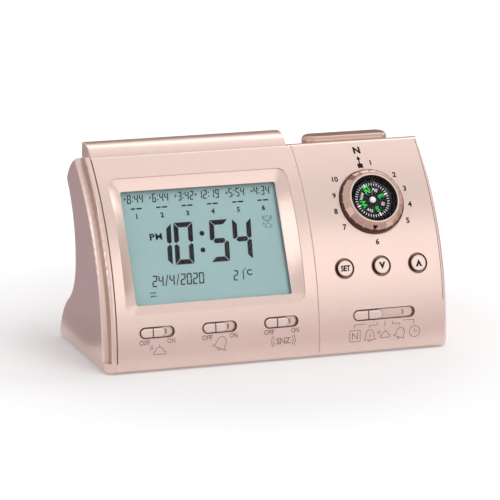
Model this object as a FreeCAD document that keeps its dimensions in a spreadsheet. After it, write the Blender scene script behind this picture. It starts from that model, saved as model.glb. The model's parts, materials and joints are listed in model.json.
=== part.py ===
import FreeCAD, Part
import math
import operator
import os
from types import SimpleNamespace

import Sketcher

# Azan alarm clock: a leaning display case with a city dial and compass, push buttons, slide switches,
# a snooze bar and a light button. Millimetres. X runs along the case, Y from the front to the back, Z up.
# The origin is on the table under the middle of the case.

SIZES = {
    # side outline of the case: depths from the front of the foot, heights from the underside
    "case_width": 150.0,
    "case_depth": 61.6,
    "foot_stand": 0.8,
    "wall": 2.0,
    "front_radius": 106.4,
    "toe_lean": 0.63,
    "brow_round": 2.6,
    "crown_centre_depth": 36.0,
    "crown_centre_height": 60.0,
    "crown_radius": 20.0,
    "nape_lean": 28.2,
    "nape_round": 2.4,
    "waist_depth": 41.6,
    "waist_height": 34.7,
    "cove_radius": 19.5,
    "heel_radius": 26.4,
    "corner_round": 5.0,
    "edge_round": 0.9,
    "split_set": 14.5,
    "split_drop": 6.2,
    "case_gap": 0.2,
    "reach": 6.0,
    # stepped moulding down both sides of the front
    "seam_inset": 4.7,
    "seam_width": 0.5,
    "seam_depth": 0.7,
    "bead_drop": 0.3,
    "bead_width": 1.9,
    "bead_round": 0.9,
    "step_depth": 3.9,
    "step_cove": 0.8,
    "trim_depth": 5.8,
    "trim_round": 1.6,
    "trim_low_lean": 2.7,
    "trim_high_lean": 60.0,
    "dial_field_width": 54.1,
    "split_line_width": 0.3,
    "split_line_depth": 0.3,
    "split_line_low": 1.6,
    # display: opening in the panel, window, lens, glass and board, one behind the other
    "display_lean": 28.4,
    "opening_left_gap": 4.4,
    "opening_right_gap": 5.3,
    "opening_height": 57.4,
    "opening_corner": 4.0,
    "opening_lip": 0.5,
    "display_depth": 4.7,
    "bezel_side": 5.1,
    "window_height": 47.2,
    "window_corner": 1.0,
    "window_drop": 0.8,
    "sill": 0.6,
    "well_wall": 1.8,
    "lens_margin": 1.9,
    "lens_thickness": 1.0,
    "lens_fit": 0.2,
    "glass_gap": 0.4,
    "glass_margin": 1.7,
    "glass_thickness": 2.0,
    "frame_wall": 2.4,
    "frame_ledge": 1.4,
    "zebra_height": 2.2,
    "zebra_width": 2.0,
    "zebra_short": 4.0,
    "board_thickness": 1.6,
    "post_diameter": 3.8,
    "post_outset": 1.3,
    "post_span_y": 40.0,
    "chip_diameter": 14.0,
    "chip_height": 1.8,
    "chip_x": 8.0,
    "chip_y": -14.0,
    "crystal_x": -18.0,
    "crystal_y": -5.5,
    "crystal_length": 8.0,
    "crystal_width": 3.0,
    "crystal_height": 2.5,
    "can_x": 25.7,
    "can_y": -14.0,
    "can_diameter": 6.3,
    "can_height": 5.4,
    "driver_x": 23.0,
    "driver_y": 3.0,
    "driver_length": 8.0,
    "driver_width": 5.0,
    "driver_height": 1.8,
    # city dial and compass
    "dial_side_gap": 25.3,
    "dial_lean": 34.2,
    "dial_diameter": 27.6,
    "dial_top_diameter": 22.8,
    "dial_skirt": 0.8,
    "dial_rise": 3.9,
    "dial_recess": 1.3,
    "dial_gap": 0.3,
    "dial_facets": 24.0,
    "dial_boss_wall": 2.2,
    "dial_boss_depth": 4.6,
    "hub_diameter": 22.2,
    "hub_depth": 6.4,
    "hub_fit": 0.1,
    "clip_width": 2.0,
    "clip_thickness": 0.8,
    "clip_bite": 0.4,
    "clip_opening": 40.0,
    "compass_diameter": 20.0,
    "compass_fit": 0.05,
    "compass_floor_depth": 3.4,
    "compass_wall": 0.8,
    "compass_rim_height": 2.2,
    "dome_height": 3.2,
    "dome_thickness": 0.6,
    "card_diameter": 16.8,
    "card_thickness": 0.4,
    "card_height": 0.8,
    "magnet_length": 12.0,
    "magnet_width": 2.6,
    "magnet_thickness": 0.7,
    "magnet_bore": 1.95,
    "cap_diameter": 2.6,
    "cap_height": 1.1,
    "cap_top_diameter": 1.56,
    "pin_diameter": 0.8,
    "pin_fit": 0.08,
    "wiper_diameter": 17.0,
    "wiper_thickness": 0.3,
    "wiper_finger": 2.0,
    "wiper_finger_inset": 1.5,
    "dial_board_gap": 1.9,
    "dial_board_width": 39.0,
    "dial_board_height": 30.0,
    # round push buttons
    "button_lean": 19.5,
    "button_pitch": 16.2,
    "button_diameter": 6.4,
    "button_rise": 1.2,
    "button_fit": 0.2,
    "button_recess_diameter": 8.6,
    "button_recess_depth": 1.0,
    "button_flange_diameter": 8.6,
    "button_flange_thickness": 0.8,
    "button_edge": 0.4,
    "button_board_overhang": 2.5,
    "sleeve_wall": 1.3,
    "sleeve_depth": 3.4,
    "seat_gap": 0.1,
    "stem_diameter": 3.0,
    "stem_length": 1.6,
    # small press switches
    "tact_width": 6.0,
    "tact_height": 3.5,
    "plunger_diameter": 3.0,
    "plunger_fit": 0.15,
    "plunger_rise": 0.9,
    "plunger_depth": 1.3,
    "tact_bore_depth": 2.6,
    # slide switches with their knobs
    "slot_lean": 8.95,
    "slot_offset": 0.7,
    "slot_pitch_share": 0.346,
    "slot_length": 14.6,
    "slot_height": 4.3,
    "slot_depth": 1.2,
    "slot_side_gap": 0.2,
    "knob_length": 10.4,
    "knob_rise": 0.7,
    "knob_groove_width": 0.5,
    "knob_groove_depth": 0.5,
    "knob_edge": 0.8,
    "knob_end_gap": 0.2,
    "stem_width": 4.4,
    "stem_height": 1.5,
    "stem_fit": 0.25,
    "stem_reach": 3.3,
    "mode_offset": 0.3,
    "mode_slot_length": 27.0,
    "mode_knob_length": 12.8,
    "lever_width": 1.8,
    "lever_thickness": 1.2,
    "lever_fit": 0.1,
    "lever_top": 2.5,
    "lever_depth": 5.8,
    "switch_gap": 0.3,
    "slide_switch_height": 4.4,
    "slide_switch_width": 5.0,
    "slide_switch_cap": 2.6,
    "slide_switch_bore": 2.6,
    "switch_board_low": 7.0,
    "switch_board_high": 4.0,
    "switch_board_inset": 13.0,
    # snooze bar and light button on the crown
    "bar_split_gap": 1.4,
    "bar_end_gap": 0.15,
    "bar_front_set": 1.6,
    "bar_front_gap": 0.25,
    "bar_front_drop": 1.0,
    "bar_back_set": 13.2,
    "bar_back_drop": 2.4,
    "bar_rise": 4.0,
    "bar_round": 10.6,
    "bar_ridge_set": 10.8,
    "bar_back_round": 1.2,
    "bar_hollow_width": 6.2,
    "bar_hollow_rise": 1.2,
    "bar_wall": 1.8,
    "slit_width": 0.8,
    "deck_gap": 1.2,
    "deck_drop": 7.0,
    "deck_back_set": 13.8,
    "deck_side_gap": 11.0,
    "key_setback": 7.6,
    "guide_inset": 11.5,
    "guide_diameter": 4.0,
    "guide_fit": 0.3,
    "guide_head": 0.6,
    "guide_head_height": 1.2,
    "spring_coil": 5.2,
    "spring_wire": 0.5,
    "spring_turns": 3.0,
    "spring_pocket": 6.4,
    "spring_sunk": 0.7,
    "light_offset": 2.6,
    "light_length": 37.4,
    "light_width": 9.0,
    "light_rise": 2.0,
    "light_low_drop": 4.4,
    "light_floor_drop": 5.4,
    "light_edge": 2.0,
    "light_gap": 0.25,
    "light_wall": 1.4,
    "light_guide_span": 24.0,
    "top_board_front": 5.0,
    "top_board_clear": 0.4,
    "top_board_drop": 14.0,
    "top_board_margin": 4.0,
    "top_post_diameter": 4.4,
    # speaker in the back
    "speaker_offset": 2.5,
    "speaker_rise": 8.6,
    "speaker_diameter": 36.0,
    "speaker_fit": 0.3,
    "speaker_seat_depth": 3.2,
    "speaker_seat_width": 2.5,
    "speaker_flange": 1.2,
    "speaker_body_depth": 4.2,
    "speaker_throat": 20.0,
    "speaker_sheet": 0.8,
    "speaker_magnet_diameter": 17.0,
    "speaker_magnet_height": 4.0,
    "speaker_wall": 1.6,
    "grille_diameter": 29.0,
    "grille_slot": 1.8,
    "grille_pitch": 3.6,
    # battery bay in the foot
    "cell_diameter": 14.5,
    "cell_length": 50.5,
    "cell_edge": 0.4,
    "nub_diameter": 5.5,
    "nub_length": 1.2,
    "cell_front_depth": 24.8,
    "cell_pitch": 15.3,
    "cell_clear": 0.4,
    "bay_half": 28.8,
    "bay_wall": 1.5,
    "ankle_back": 52.0,
    "plate_thickness": 0.4,
    "contact_rise": 4.4,
    "contact_flat": 1.0,
    "contact_width": 5.0,
    "tab_width": 3.0,
    "tab_reach": 2.2,
    "door_half": 28.2,
    "door_gap": 0.2,
    "door_front": 18.6,
    "door_height": 11.0,
    "door_tongue": 1.2,
    "door_tongue_thickness": 0.8,
    "door_tongue_gap": 0.1,
    "door_lip_half": 12.0,
    "door_lip_front": 17.4,
    "door_lip_back": 20.6,
    "door_lip_thickness": 1.0,
    # fasteners and feet
    "screw_side_gap": 6.8,
    "screw_front_depth": 20.0,
    "screw_back_depth": 48.0,
    "screw_head": 5.0,
    "screw_head_height": 1.6,
    "screw_head_depth": 0.6,
    "screw_pad": 8.6,
    "screw_pad_top": 3.5,
    "screw_shank": 2.6,
    "screw_fit": 0.05,
    "screw_play": 0.2,
    "screw_length": 9.0,
    "screw_boss": 7.0,
    "screw_boss_top": 14.0,
    "board_screw_head": 3.4,
    "board_screw_head_height": 1.3,
    "board_screw_shank": 1.8,
    "board_screw_length": 3.6,
    "rubber_side_gap": 17.0,
    "rubber_front_depth": 9.0,
    "rubber_back_depth": 54.0,
    "rubber_diameter": 8.0,
    "rubber_sunk": 0.8,
    # wiring inside
    "lead_diameter": 1.0,
    "lead_bend": 3.0,
    "front_lead_rise": 10.9,
    "rear_lead_rise": 7.2,
    "ribbon_thickness": 0.5,
    "ribbon_width": 9.0,
    "ribbon_loop": 2.4,
}

LEFT = "left"
RIGHT = "right"
FULL_TURN = 360.0

doc = FreeCAD.newDocument("AzanClock")
sheet = doc.addObject("Spreadsheet::Sheet", "Dims")
for row, (name, value) in enumerate(SIZES.items(), start=1):
    sheet.set("A%d" % row, name)
    sheet.set("B%d" % row, str(value))
    sheet.setAlias("B%d" % row, name)
doc.recompute()


class Size:
    """A number together with the sheet formula that works it out."""

    def __init__(self, value, formula):
        self.value = value
        self.formula = formula

    def __neg__(self):
        return Size(-self.value, "(0 - %s)" % self.formula)

    def __add__(self, other):
        return worked_out(self, "+", other)

    def __radd__(self, other):
        return worked_out(other, "+", self)

    def __sub__(self, other):
        return worked_out(self, "-", other)

    def __rsub__(self, other):
        return worked_out(other, "-", self)

    def __mul__(self, other):
        return worked_out(self, "*", other)

    def __rmul__(self, other):
        return worked_out(other, "*", self)

    def __truediv__(self, other):
        return worked_out(self, "/", other)


SIGNS = {"+": operator.add, "-": operator.sub, "*": operator.mul, "/": operator.truediv}


def number(item):
    return item.value if isinstance(item, Size) else float(item)


def formula(item):
    return item.formula if isinstance(item, Size) else repr(item)


def worked_out(left, sign, right):
    value = SIGNS[sign](number(left), number(right))
    return Size(value, "(%s %s %s)" % (formula(left), sign, formula(right)))


def sine(angle):
    return Size(math.sin(math.radians(number(angle))), "sin(%s)" % formula(angle))


def cosine(angle):
    return Size(math.cos(math.radians(number(angle))), "cos(%s)" % formula(angle))


def arcsine(item):
    return Size(math.degrees(math.asin(number(item))), "asin(%s) / (1 deg)" % formula(item))


def bind(target, prop, item):
    if isinstance(item, Size):
        target.setExpression(prop, item.formula)
    else:
        setattr(target, prop, item)


d = SimpleNamespace(**{name: Size(float(sheet.get(name)), "Dims." + name) for name in SIZES})
derived = list(SIZES)


def named(name, item):
    """Give a worked-out size a cell of its own in the sheet."""
    derived.append(name)
    row = len(derived)
    sheet.set("A%d" % row, name)
    sheet.set("B%d" % row, "=" + item.formula.replace("Dims.", ""))
    sheet.setAlias("B%d" % row, name)
    return Size(item.value, "Dims." + name)


def root(item):
    return Size(math.sqrt(number(item)), "sqrt(%s)" % formula(item))


# ---------------------------------------------------------------- places that several pieces share

half_width = d.case_width / 2
half_depth = d.case_depth / 2
axis_y = d.front_radius - half_depth
axis_z = d.foot_stand - d.front_radius * sine(d.toe_lean)
seam_x = half_width - d.seam_inset
inside_x = half_width - d.wall
narrow_half = seam_x - d.seam_width
split_line_x = seam_x - d.dial_field_width
opening_left = -seam_x + d.opening_left_gap
opening_width = split_line_x - d.opening_right_gap - opening_left
window_width = opening_width - 2 * d.bezel_side
display_x = opening_left + opening_width / 2
dial_x = seam_x - d.dial_side_gap
mode_x = dial_x - d.mode_offset
slot_middle_x = display_x + d.slot_offset
crown_top = d.crown_centre_height + d.crown_radius
split_height = crown_top - d.split_drop
split_depth = d.crown_centre_depth + d.split_set
slot_pitch = opening_width * d.slot_pitch_share
speaker_x = display_x - d.speaker_offset


def case_y(depth):
    """Depth behind the front of the foot, in the part's own frame."""
    return depth - half_depth


def case_z(height):
    """Height above the underside of the case, in the part's own frame."""
    return height + d.foot_stand


def reached_from(name, first, first_reach, second, second_reach, side):
    """The point at two given distances from two given points, on the left or the right of the way."""
    way_y = second[0] - first[0]
    way_z = second[1] - first[1]
    span = named(name + "_span", root(way_y * way_y + way_z * way_z))
    along = (first_reach * first_reach - second_reach * second_reach + span * span) / (2 * span)
    along = named(name + "_along", along)
    across = named(name + "_across", side * root(first_reach * first_reach - along * along))
    y = first[0] + (along * way_y - across * way_z) / span
    z = first[1] + (along * way_z + across * way_y) / span
    return named(name + "_y", y), named(name + "_z", z)


def between(name, centre, reach, target, span):
    """The point at a distance from a centre on the way to a target that is a known span away."""
    y = centre[0] + (target[0] - centre[0]) * reach / span
    z = centre[1] + (target[1] - centre[1]) * reach / span
    return named(name + "_y", y), named(name + "_z", z)


# centres of the arcs that make the side outline, each arc running smoothly into the next
front_centre = (axis_y, axis_z)
crown_centre = (case_y(d.crown_centre_depth), case_z(d.crown_centre_height))
brow_centre = reached_from("brow_centre", front_centre, d.front_radius - d.brow_round,
                           crown_centre, d.crown_radius - d.brow_round, -1)
nape_centre = (crown_centre[0] + (d.crown_radius - d.nape_round) * cosine(d.nape_lean),
               crown_centre[1] + (d.crown_radius - d.nape_round) * sine(d.nape_lean))
nape_run = nape_centre[0] - case_y(d.waist_depth)
nape_climb = nape_centre[1] - case_z(d.waist_height)
back_radius = named("back_radius", (nape_run * nape_run + nape_climb * nape_climb
                                    - d.nape_round * d.nape_round) / (2 * (nape_run + d.nape_round)))
back_centre = (case_y(d.waist_depth) + back_radius, case_z(d.waist_height))
cove_centre = (case_y(d.waist_depth) + d.cove_radius, case_z(d.waist_height))
heel_centre = reached_from("heel_centre", cove_centre, d.cove_radius + d.heel_radius,
                           (case_y(d.case_depth), case_z(0)), d.heel_radius, -1)
speaker_tilt = named("speaker_tilt", arcsine(d.speaker_rise / back_radius))


# ---------------------------------------------------------------- document helpers


def place(piece, x, y, z, tilt=0.0):
    """Put a piece at a point, turned about X by the tilt."""
    spot = FreeCAD.Vector(number(x), number(y), number(z))
    turn = FreeCAD.Rotation(FreeCAD.Vector(1, 0, 0), number(tilt))
    if number(tilt) == 0:
        turn = FreeCAD.Rotation()
    piece.Placement = FreeCAD.Placement(spot, turn)
    for letter, item in zip("xyz", (x, y, z)):
        if isinstance(item, Size):
            piece.setExpression("Placement.Base." + letter, item.formula)
    if isinstance(tilt, Size):
        piece.setExpression("Placement.Rotation.Angle", tilt.formula)
    return piece


def on_front(piece, x, lean):
    """Put a piece on the curved front: its local Z points straight out of the panel, its Y up the panel."""
    y = axis_y - d.front_radius * cosine(lean)
    z = axis_z + d.front_radius * sine(lean)
    return place(piece, x, y, z, 90 - lean)


def on_back(piece, x):
    """Put a piece on the hollow curve of the back: its local Z points straight out of the back."""
    y = back_centre[0] - back_radius * cosine(speaker_tilt)
    z = back_centre[1] + back_radius * sine(speaker_tilt)
    return place(piece, x, y, z, -90 - speaker_tilt)


def new_body(label):
    body = doc.addObject("PartDesign::Body", label)
    body.Label = label
    return body


def plane_sketch(body, role, lift=0.0):
    """A sketch on one of the body's own planes, lifted along the plane's normal."""
    plane = next(item for item in body.Origin.OriginFeatures if item.Role == role)
    sketch = body.newObject("Sketcher::SketchObject", body.Name + "_sketch")
    sketch.AttachmentSupport = [(plane, "")]
    sketch.MapMode = "FlatFace"
    if isinstance(lift, Size):
        sketch.setExpression("AttachmentOffset.Base.z", lift.formula)
    return sketch


def fix(sketch, constraint, item):
    """Add a dimension to a sketch and bind it to its formula."""
    index = sketch.addConstraint(constraint)
    if isinstance(item, Size):
        sketch.setExpression("Constraints[%d]" % index, item.formula)


def fix_point(sketch, geometry, end, x, y):
    fix(sketch, Sketcher.Constraint("DistanceX", -1, 1, geometry, end, number(x)), x)
    fix(sketch, Sketcher.Constraint("DistanceY", -1, 1, geometry, end, number(y)), y)


def arc_between(start, finish, radius, side):
    """The short arc from start to finish with its centre on the given side of the way."""
    chord = finish - start
    to_left = FreeCAD.Vector(-chord.y, chord.x, 0).normalize()
    height = math.sqrt(radius ** 2 - (chord.Length / 2) ** 2)
    centre = start + chord * 0.5 + to_left * (height if side == LEFT else -height)
    first, last = (start, finish) if side == LEFT else (finish, start)
    angles = [math.atan2(point.y - centre.y, point.x - centre.x) for point in (first, last)]
    circle = Part.Circle(centre, FreeCAD.Vector(0, 0, 1), radius)
    return Part.ArcOfCircle(circle, angles[0], angles[1])


def closed_outline(sketch, corners):
    """Draw a closed outline. A corner is (x, y), or (x, y, radius, side) where an arc arrives at it;
    the side is where the arc's centre lies for someone who walks along the outline."""
    edges = []
    for index, corner in enumerate(corners):
        start = FreeCAD.Vector(number(corners[index - 1][0]), number(corners[index - 1][1]), 0)
        finish = FreeCAD.Vector(number(corner[0]), number(corner[1]), 0)
        if len(corner) == 2:
            edges.append((sketch.addGeometry(Part.LineSegment(start, finish), False), 1, 2))
        else:
            radius, side = corner[2:]
            arc = arc_between(start, finish, number(radius), side)
            ends = (1, 2) if side == LEFT else (2, 1)
            edges.append((sketch.addGeometry(arc, False),) + ends)
    for index, corner in enumerate(corners):
        edge, first, last = edges[index]
        following, next_first, _ = edges[(index + 1) % len(edges)]
        sketch.addConstraint(Sketcher.Constraint("Coincident", edge, last, following, next_first))
        fix_point(sketch, edge, last, corner[0], corner[1])
        if len(corner) > 2:
            fix(sketch, Sketcher.Constraint("Radius", edge, number(corner[2])), corner[2])
    return sketch


def circle(sketch, x, y, radius):
    shape = Part.Circle(FreeCAD.Vector(number(x), number(y), 0), FreeCAD.Vector(0, 0, 1), number(radius))
    index = sketch.addGeometry(shape, False)
    fix_point(sketch, index, 3, x, y)
    fix(sketch, Sketcher.Constraint("Radius", index, number(radius)), radius)
    return sketch


def rectangle(x_low, x_high, y_low, y_high):
    return [(x_low, y_low), (x_high, y_low), (x_high, y_high), (x_low, y_high)]


def rounded_rectangle(x_low, x_high, y_low, y_high, radius):
    """Corners of a rectangle with round corners, walked anticlockwise."""
    return [
        (x_low + radius, y_low, radius, LEFT), (x_high - radius, y_low),
        (x_high, y_low + radius, radius, LEFT), (x_high, y_high - radius),
        (x_high - radius, y_high, radius, LEFT), (x_low + radius, y_high),
        (x_low, y_high - radius, radius, LEFT), (x_low, y_low + radius),
    ]


def stadium(sketch, length, height, middle_x=0.0, middle_y=0.0):
    """A slot outline with two half-round ends."""
    radius = height / 2
    ends = []
    for sign, low, high in ((-1, 90, 270), (1, -90, 90)):
        centre_x = middle_x + sign * (length / 2 - radius)
        spot = FreeCAD.Vector(number(centre_x), number(middle_y), 0)
        round_end = Part.Circle(spot, FreeCAD.Vector(0, 0, 1), number(radius))
        arc = Part.ArcOfCircle(round_end, math.radians(low), math.radians(high))
        index = sketch.addGeometry(arc, False)
        fix_point(sketch, index, 3, centre_x, middle_y)
        fix(sketch, Sketcher.Constraint("Radius", index, number(radius)), radius)
        ends.append((index, spot))
    for sign, left_end, right_end in ((1, 1, 2), (-1, 2, 1)):
        rise = FreeCAD.Vector(0, sign * number(radius), 0)
        side = Part.LineSegment(ends[0][1] + rise, ends[1][1] + rise)
        index = sketch.addGeometry(side, False)
        sketch.addConstraint(Sketcher.Constraint("Tangent", index, 1, ends[0][0], left_end))
        sketch.addConstraint(Sketcher.Constraint("Tangent", index, 2, ends[1][0], right_end))
    return sketch


def pad(body, sketch, length, symmetric=False):
    feature = body.newObject("PartDesign::Pad", body.Name + "_pad")
    feature.Profile = sketch
    feature.Midplane = symmetric
    bind(feature, "Length", length)
    return feature


def pocket(body, sketch, length, downwards=True):
    """Cut a sketch's outline out of the body, down from the sketch or up."""
    feature = body.newObject("PartDesign::Pocket", body.Name + "_pocket")
    feature.Profile = sketch
    feature.Reversed = not downwards
    bind(feature, "Length", length)
    return feature


def revolve(body, sketch, axis, angle=FULL_TURN):
    feature = body.newObject("PartDesign::Revolution", body.Name + "_turn")
    feature.Profile = sketch
    feature.ReferenceAxis = (sketch, [axis])
    bind(feature, "Angle", angle)
    return feature


def round_edges(body, wanted, radius):
    """Fillet the edges of the body's last feature that the test picks."""
    doc.recompute()
    base = body.Tip
    names = ["Edge%d" % (index + 1) for index, edge in enumerate(base.Shape.Edges) if wanted(edge)]
    feature = body.newObject("PartDesign::Fillet", body.Name + "_fillet")
    feature.Base = (base, names)
    bind(feature, "Radius", radius)
    return feature


def block(label, x_low, x_high, y_low, y_high, z_low, z_high):
    body = new_body(label)
    sketch = closed_outline(plane_sketch(body, "XY_Plane", z_low), rectangle(x_low, x_high, y_low, y_high))
    pad(body, sketch, z_high - z_low)
    return body


def rounded_block(label, x_half, y_low, y_high, z_low, z_high, radius):
    body = new_body(label)
    corners = rounded_rectangle(-x_half, x_half, y_low, y_high, radius)
    pad(body, closed_outline(plane_sketch(body, "XY_Plane", z_low), corners), z_high - z_low)
    return body


def turned(label, corners):
    """A turned piece: the outline is (radius, height) and goes round the local Z axis."""
    body = new_body(label)
    revolve(body, closed_outline(plane_sketch(body, "XZ_Plane"), corners), "V_Axis")
    return body


def cylinder(label, diameter, z_low, z_high, x=0.0, y=0.0):
    body = new_body(label)
    pad(body, circle(plane_sketch(body, "XY_Plane", z_low), x, y, diameter / 2), z_high - z_low)
    return body


def ring(label, outer, inner, z_low, z_high):
    body = new_body(label)
    sketch = plane_sketch(body, "XY_Plane", z_low)
    circle(sketch, 0.0, 0.0, outer / 2)
    circle(sketch, 0.0, 0.0, inner / 2)
    pad(body, sketch, z_high - z_low)
    return body


def stadium_block(label, length, height, z_low, z_high, middle_x=0.0, middle_y=0.0):
    body = new_body(label)
    sketch = plane_sketch(body, "XY_Plane", z_low)
    pad(body, stadium(sketch, length, height, middle_x, middle_y), z_high - z_low)
    return body


def side_block(label, corners, x_low, x_high):
    """A solid that runs along X from one place to another, with a side outline in depth and height."""
    body = new_body(label)
    sketch = closed_outline(plane_sketch(body, "YZ_Plane", x_low), corners)
    pad(body, sketch, x_high - x_low)
    return body


def swept_about_front(label, corners, low_lean, high_lean):
    """A solid swept round the axis of the curved front: the outline is (x, distance from that axis)."""
    body = new_body(label)
    flipped = [(corner[0], -corner[1]) + tuple(corner[2:]) for corner in corners]
    sketch = closed_outline(plane_sketch(body, "XY_Plane"), flipped)
    feature = revolve(body, sketch, "H_Axis", high_lean - low_lean)
    feature.Reversed = True
    return place(body, 0.0, axis_y, axis_z, -low_lean)


def fuse(label, pieces):
    result = doc.addObject("Part::MultiFuse", label)
    result.Shapes = pieces
    return result


def cut(label, base, tool):
    result = doc.addObject("Part::Cut", label)
    result.Base = base
    result.Tool = tool
    return result


def common(label, first, second):
    result = doc.addObject("Part::MultiCommon", label)
    result.Shapes = [first, second]
    return result


def group(label, pieces):
    result = doc.addObject("Part::Compound", label)
    result.Links = pieces
    return result


NODES = []


def node(piece):
    """Keep a finished piece: its label names its file."""
    NODES.append(piece)
    return piece


# ---------------------------------------------------------------- outline of the case, from the side


def outline_places():
    """The places where each arc of the side outline runs into the next."""
    brow = between("brow_front", front_centre, d.front_radius, brow_centre, d.front_radius - d.brow_round)
    crown = between("brow_back", crown_centre, d.crown_radius, brow_centre, d.crown_radius - d.brow_round)
    nape = between("nape_high", crown_centre, d.crown_radius, nape_centre, d.crown_radius - d.nape_round)
    back = between("nape_low", nape_centre, d.nape_round, back_centre, back_radius + d.nape_round)
    ankle = between("ankle", cove_centre, d.cove_radius, heel_centre, d.cove_radius + d.heel_radius)
    return brow, crown, nape, back, ankle


brow_place, crown_place, nape_place, back_place, ankle_place = outline_places()


def case_corners():
    """The curved front, the crown, the nape, the waist and the heel, walked from the toe."""
    toe_y = axis_y - d.front_radius * cosine(d.toe_lean)
    return [
        (toe_y, case_z(0)),
        brow_place + (d.front_radius, RIGHT),
        crown_place + (d.brow_round, RIGHT),
        nape_place + (d.crown_radius, RIGHT),
        back_place + (d.nape_round, RIGHT),
        (case_y(d.waist_depth), case_z(d.waist_height), back_radius, LEFT),
        ankle_place + (d.cove_radius, LEFT),
        (case_y(d.case_depth), case_z(0), d.heel_radius, RIGHT),
    ]


def case_solid(label, half):
    """The full outline of the case as a solid between two side planes."""
    return side_block(label, case_corners(), -half, half)


def hollow_solid(label, half):
    """The space inside the walls, as a solid between two side planes."""
    outline = doc.addObject("Sketcher::SketchObject", label + "_outline")
    outline.Placement = FreeCAD.Placement(FreeCAD.Vector(0, 0, 0), FreeCAD.Rotation(0.5, 0.5, 0.5, 0.5))
    closed_outline(outline, case_corners())
    inner = doc.addObject("Part::Offset2D", label + "_inner")
    inner.Source = outline
    inner.Join = "Intersection"
    bind(inner, "Value", -d.wall)
    solid = doc.addObject("Part::Extrusion", label)
    solid.Base = inner
    solid.DirMode = "Custom"
    solid.Dir = FreeCAD.Vector(1, 0, 0)
    solid.Solid = True
    solid.Symmetric = True
    bind(solid, "LengthFwd", half * 2)
    return solid


def front_drum(label, radius, half):
    """The space within a distance of the axis of the curved front."""
    drum = doc.addObject("Part::Cylinder", label)
    lying = FreeCAD.Rotation(FreeCAD.Vector(0, 1, 0), 90)
    drum.Placement = FreeCAD.Placement(FreeCAD.Vector(0, 0, 0), lying)
    bind(drum, "Radius", radius)
    bind(drum, "Height", half * 2)
    drum.setExpression("Placement.Base.x", (-half).formula)
    drum.setExpression("Placement.Base.y", axis_y.formula)
    drum.setExpression("Placement.Base.z", axis_z.formula)
    return drum


def back_prism(label, half, toe_in, gap):
    """Everything behind the parting line, down to a front limit near the toe."""
    far = d.case_depth + 4 * d.reach
    knee = split_depth - 2 * d.reach
    knee_height = split_height - 2 * d.reach
    corners = [
        (case_y(toe_in + gap), case_z(-d.reach)),
        (case_y(far), case_z(-d.reach)),
        (case_y(far), case_z(knee_height + far - knee - gap)),
        (case_y(knee + gap / 2), case_z(knee_height - gap / 2)),
        (case_y(toe_in + gap), case_z(d.reach)),
    ]
    return side_block(label, corners, -(half - gap), half - gap)


def back_region(label, gap=0.0):
    """The room of the rear cover: full width behind the mouldings, narrower close to the toe."""
    narrow = back_prism(label + "_narrow", narrow_half, d.wall + 0.1, gap)
    wide = back_prism(label + "_wide", inside_x, d.trim_depth + d.wall + 0.1, gap)
    return fuse(label, [narrow, wide])


# ---------------------------------------------------------------- tools that shape the front housing


def near(value, target):
    return abs(value - number(target)) < 0.02


def housing_block():
    """The outer form of the case, with its long edges rounded."""
    body = case_solid("housing_block", half_width)

    def on_side(edge):
        box = edge.BoundBox
        return box.XLength < 0.01 and near(abs(box.XMin), half_width)

    def along_foot(edge):
        box = edge.BoundBox
        return box.XLength > 1 and box.ZLength < 0.01 and near(box.ZMin, d.foot_stand)

    round_edges(body, lambda edge: on_side(edge) or along_foot(edge), d.edge_round)
    return body


def foot_corner_cut():
    """Takes the sharp front corner off the foot, below the left moulding."""
    toe_y = case_y(0)
    round_start = half_width - d.corner_round
    corners = [
        (-round_start, toe_y - d.reach),
        (-half_width - d.reach, toe_y - d.reach),
        (-half_width - d.reach, toe_y + d.corner_round),
        (-half_width, toe_y + d.corner_round),
        (-round_start, toe_y, d.corner_round, LEFT),
    ]
    body = new_body("foot_corner_left")
    pad(body, closed_outline(plane_sketch(body, "XY_Plane"), corners), case_z(d.reach))
    return body


def step_corners():
    """Outside the bead the moulding steps back to a cove and rounds over to the side face."""
    face = d.front_radius
    bead_end = seam_x + d.seam_width / 2 + d.bead_width
    cove_low = face - d.step_depth - d.step_cove
    trim_low = face - d.trim_depth
    return [
        (bead_end, face - d.step_depth),
        (bead_end + d.step_cove, cove_low, d.step_cove, LEFT),
        (half_width - d.trim_round, cove_low),
        (half_width + 0.1, trim_low, d.trim_round * 1.1, RIGHT),
        (half_width + d.reach, trim_low),
        (half_width + d.reach, face + d.reach),
    ]


def left_trim_cut():
    """The moulding that steps back from the panel to the left side face: seam, bead, step and cove."""
    face = d.front_radius
    bead_start = seam_x + d.seam_width / 2
    bead_end = bead_start + d.bead_width
    bead_top = face - d.bead_drop
    corners = [
        (seam_x - d.seam_width / 2, face + d.reach),
        (seam_x - d.seam_width / 2, face - d.seam_depth),
        (bead_start, face - d.seam_depth),
        (bead_start, bead_top),
        (bead_end - d.bead_round, bead_top),
        (bead_end, bead_top - d.bead_round, d.bead_round, RIGHT),
    ] + step_corners()
    swap = {LEFT: RIGHT, RIGHT: LEFT}
    corners = [
        (-corner[0], corner[1]) + (() if len(corner) == 2 else (corner[2], swap[corner[3]]))
        for corner in corners
    ]
    return swept_about_front("trim_cut_left", mirrored_sides(corners), d.trim_low_lean, d.trim_high_lean)


def right_trim_cut():
    """On the right the panel runs on over its rounded edge, down to the foot, with no seam or bead."""
    face = d.front_radius
    edge = seam_x + d.seam_width / 2 + d.bead_width
    corners = [
        (edge - d.bead_round, face + d.reach),
        (edge - d.bead_round, face),
        (edge, face - d.bead_round, d.bead_round, RIGHT),
    ] + step_corners()
    return swept_about_front("trim_cut_right", mirrored_sides(corners), -d.trim_low_lean, d.trim_high_lean)


def mirrored_sides(corners):
    """The same outline when its second coordinate is turned over: every arc's centre changes side."""
    swap = {LEFT: RIGHT, RIGHT: LEFT}
    return [corner if len(corner) == 2 else corner[:3] + (swap[corner[3]],) for corner in corners]


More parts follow.
